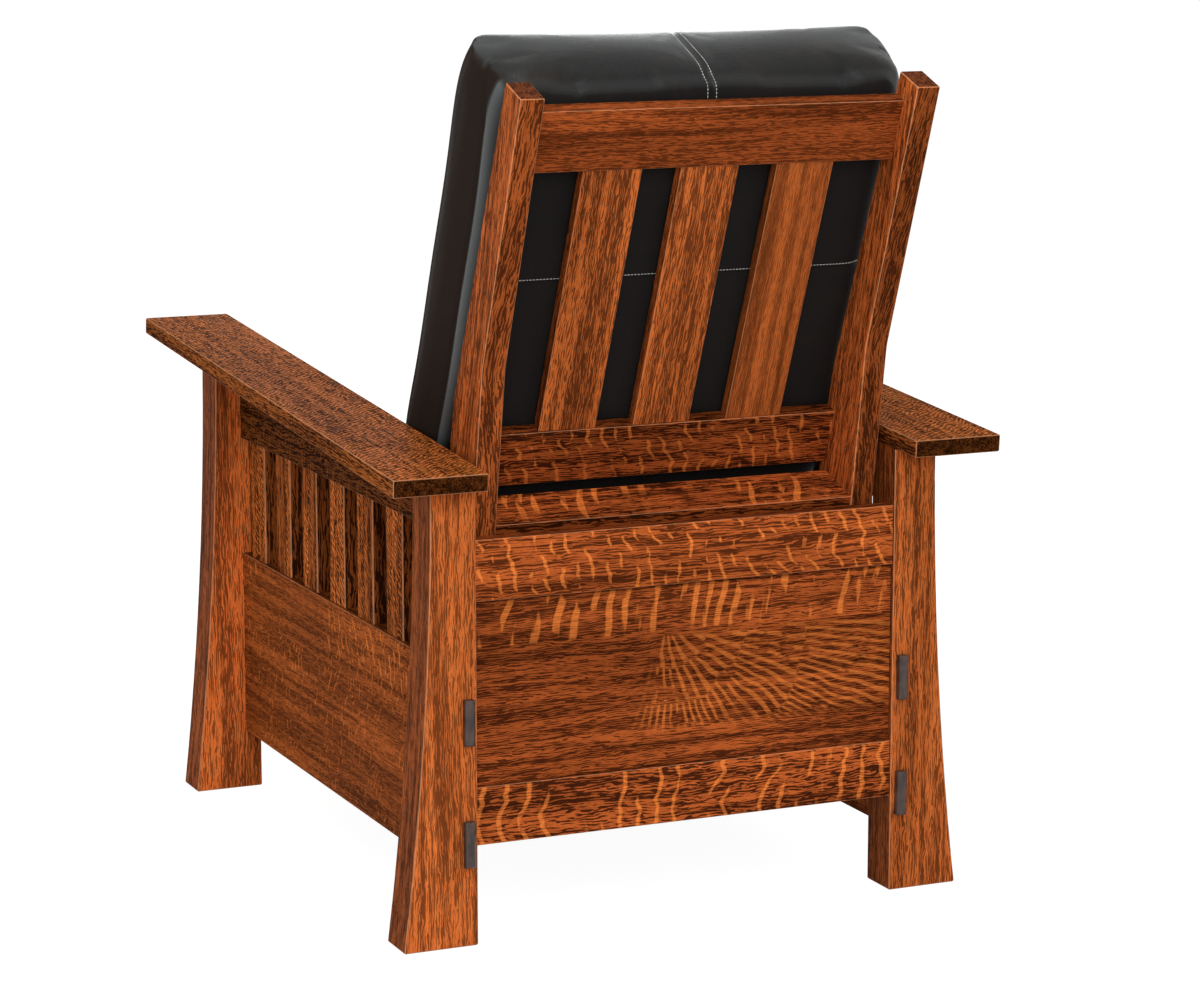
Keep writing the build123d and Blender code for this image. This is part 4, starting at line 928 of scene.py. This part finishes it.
def backSeamDepth(local, size):
    # Depth of the grooves on the back cushion: middle seam, cross seam, the side seams, which bend forward near the
    # top, and the welt round the front.
    x, y, z = local.T
    side = np.abs(x) / (size[0] / 2)
    ends = np.abs(y / size[1] - 0.5) * 2
    middle = groove(x, backSeams["width"], backSeams["depth"])
    cross = groove(y - backSeams["row"], backSeams["width"], backSeams["depth"] * 0.6) * (side < 0.93)
    reach = backSeams["bendReach"]
    turned = np.clip((y - size[1] + reach) / reach, 0, 1) ** 2 * backSeams["bend"]
    rear = groove(z - backSeams["side"] - turned, *backSeams["sideGroove"]) * (side > 0.9)
    front = groove(z - backSeams["front"], *backSeams["frontGroove"])
    front = front * ((side > 0.93) | ((ends > 0.9) & (y < size[1] / 2)))
    return np.maximum(np.maximum(middle, cross), np.maximum(rear, front))


def welt(z, height, width, depth):
    return groove(z - height, width, depth)


def seatSeamDepth(local, size):
    # Depth of the grooves on the seat cushion: middle seam over the top and front, and welts near the top and foot.
    x, y, z = local.T
    side = np.maximum(np.abs(x) / (size[0] / 2), np.abs(y / size[1] - 0.5) * 2)
    middle = groove(x, *seatSeams["middle"]) * (z > 0.02)
    welts = np.maximum(welt(z, *seatSeams["welt"]), welt(z, *seatSeams["foot"]))
    return np.maximum(middle, welts * (side > 0.9))


def padSeamDepth(local, size):
    # Depth of the grooves on the footrest pad: middle seam and a welt round its edge.
    x, y, z = local.T
    side = np.maximum(np.abs(x) / (size[0] / 2), np.abs(y / size[1] - 0.5) * 2)
    return np.maximum(groove(x, *padSeams["middle"]), welt(z, *padSeams["welt"]) * (side > 0.88))


softPieces = {
    "back": ("back_cushion_leather", "back_cushion", "back", backSeamDepth, backSeams["side"]),
    "seat": ("seat_cushion_leather", "seat_cushion", "seat", seatSeamDepth, None),
    "footrest": ("footrest_pad_leather", "footrest_pad", "footrest", padSeamDepth, None),
}
cushions = {}
for key, (name, node, body, seams, panel) in softPieces.items():
    piece = cushionShell(name, cushionLook[key], seams, nodes[node])
    piece.data.materials.clear()
    piece.data.materials.append(leather(f"leather_{key}", cushionLook[key], panel))
    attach(piece, body)
    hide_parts(node)
    cushions[key] = piece
    print("cushion done:", name, len(piece.data.polygons), "faces")

# stitches

# rowGap is the distance of a row from its seam, inset how far a cross row stays from the sides, ring how far from a
# stitch's middle its end rings lie and lift how far above the leather its middle is, both as shares
stitchLook = {
    "length": 0.0036, "pitch": 0.0043, "radius": 0.00062, "rowGap": 0.0056, "inset": 0.02, "ring": 0.72, "lift": 0.35,
}


def trace(piece, look, starts, aims):
    # Points and normals where rays from the starts along the aims meet the cushion, all in its own axes.
    local = toLocal(look, readPoints(piece.data))
    tree = BVHTree.FromPolygons(local.tolist(), [tuple(p.vertices) for p in piece.data.polygons])
    found = [tree.ray_cast(Vector(s), Vector(a)) for s, a in zip(starts, aims)]
    kept = [(h[0], h[1]) for h in found if h[0] is not None]
    return np.array([tuple(k[0]) for k in kept]), np.array([tuple(k[1]) for k in kept])


def sewRow(places, normals):
    # Stitches along a traced line, at equal steps of its length: spindles of six sides, of radius sqrt(1 - t^2), with
    # three rings of points between two tips.
    steps = np.linalg.norm(np.diff(places, axis=0), axis=1)
    length = np.concatenate([[0], np.cumsum(steps)])
    wanted = np.arange(stitchLook["pitch"] / 2, length[-1], stitchLook["pitch"])
    ends = []
    for s in (-1, 1):
        at = wanted + s * stitchLook["length"] / 2
        ends.append(np.stack([np.interp(at, length, places[:, i]) for i in range(3)], -1))
    upward = np.stack([np.interp(wanted, length, normals[:, i]) for i in range(3)], -1)
    upward /= np.linalg.norm(upward, axis=1, keepdims=True)
    forward = ends[1] - ends[0]
    forward /= np.linalg.norm(forward, axis=1, keepdims=True)
    beside = np.cross(upward, forward)
    centre = (ends[0] + ends[1]) / 2 + upward * stitchLook["radius"] * stitchLook["lift"]
    ring = stitchLook["ring"]
    t = np.concatenate([[-1.0], np.repeat(np.array([-ring, 0.0, ring]), 6), [1.0]])
    turn = np.concatenate([[0.0], np.tile(np.arange(6) * math.pi / 3, 3), [0.0]])
    radius = np.sqrt(np.maximum(0, 1 - t ** 2)) * stitchLook["radius"]
    shape = centre[:, None] + forward[:, None] * (t * stitchLook["length"] / 2)[None, :, None]
    shape = shape + beside[:, None] * (radius * np.cos(turn))[None, :, None]
    shape = shape + upward[:, None] * (radius * np.sin(turn))[None, :, None]
    this = np.arange(6)
    after = (this + 1) % 6
    first = np.stack([np.zeros(6, int), 1 + after, 1 + this], -1)
    last = np.stack([np.full(6, 19), 13 + this, 13 + after], -1)
    caps = np.concatenate([first, last])
    sides = [np.stack([1 + s + this, 1 + s + after, 7 + s + after, 7 + s + this], -1) for s in (0, 6)]
    sides = np.concatenate(sides)
    offsets = np.arange(len(wanted)) * 20
    faces = [list(f) for f in (caps[None] + offsets[:, None, None]).reshape(-1, 3)]
    faces += [list(f) for f in (sides[None] + offsets[:, None, None]).reshape(-1, 4)]
    return shape.reshape(-1, 3), faces


def withX(pairs, x):
    return np.concatenate([np.full((len(pairs), 1), x), pairs], 1)


def loopRays(look, x, low, high):
    # Rays from outside a cushion towards its middle layer in the plane x, round its rear, top, front and foot; low and
    # high pick those between two places on the way round.
    size = look["size"]
    mid = size[2] / 2
    y = np.linspace(mid, size[1] - mid, 260)
    turn = np.linspace(-math.pi / 2, math.pi / 2, 70)
    rear = np.stack([y, np.full_like(y, mid)], -1), np.tile([0.0, -1.0], (len(y), 1))
    top = np.tile([size[1] - mid, mid], (len(turn), 1)), np.stack([np.cos(turn), np.sin(turn)], -1)
    front = rear[0][::-1], -rear[1]
    foot = np.tile([mid, mid], (len(turn), 1)), -top[1]
    hubs = np.concatenate([part[0] for part in (rear, top, front, foot)])[low:high]
    aims = np.concatenate([part[1] for part in (rear, top, front, foot)])[low:high]
    return withX(hubs + aims * size[2] * 2, x), withX(-aims, 0.0)


def stitches(name, body, key, rows, material):
    # One piece from several rows of stitches on a cushion.
    points, faces, count = [], [], 0
    for starts, aims in rows:
        made = sewRow(*trace(cushions[key], cushionLook[key], starts, aims))
        points.append(made[0])
        faces += [[i + count for i in f] for f in made[1]]
        count += len(made[0])
    piece = makeObject(name, toWorld(cushionLook[key], np.concatenate(points)), faces)
    piece.data.materials.append(material)
    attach(piece, body)
    print("stitches done:", name, len(faces), "faces")
    return piece


def crossRays(look, y, z, aim):
    # Rays along the thickness of a cushion, in a line across it at the height y.
    half, inset = look["size"][0] / 2, stitchLook["inset"]
    x = np.linspace(-half + inset, half - inset, 260)
    starts = np.stack([x, np.full_like(x, y), np.full_like(x, z)], -1)
    return starts, np.tile([0.0, 0.0, aim], (len(x), 1))


paleThread = threadMaterial("paleThread", linear(150, 148, 144), linear(214, 212, 206))
loopParts = {"back": (0, 626), "seat": (330, 640), "footrest": (262, 655)}
gap = stitchLook["rowGap"]
rows = {key: [loopRays(cushionLook[key], s * gap, *part) for s in (-1, 1)] for key, part in loopParts.items()}
rows["back"].append(crossRays(cushionLook["back"], backSeams["row"] + 0.006, -0.1, 1.0))
for s in (-1, 1):
    rows["back"].append(crossRays(cushionLook["back"], backSeams["row"] + s * gap, 0.4, -1.0))
stitches("back_cushion_stitches", "back", "back", rows["back"], paleThread)
stitches("seat_cushion_stitches", "seat", "seat", rows["seat"], paleThread)
stitches("footrest_pad_stitches", "footrest", "footrest", rows["footrest"], paleThread)
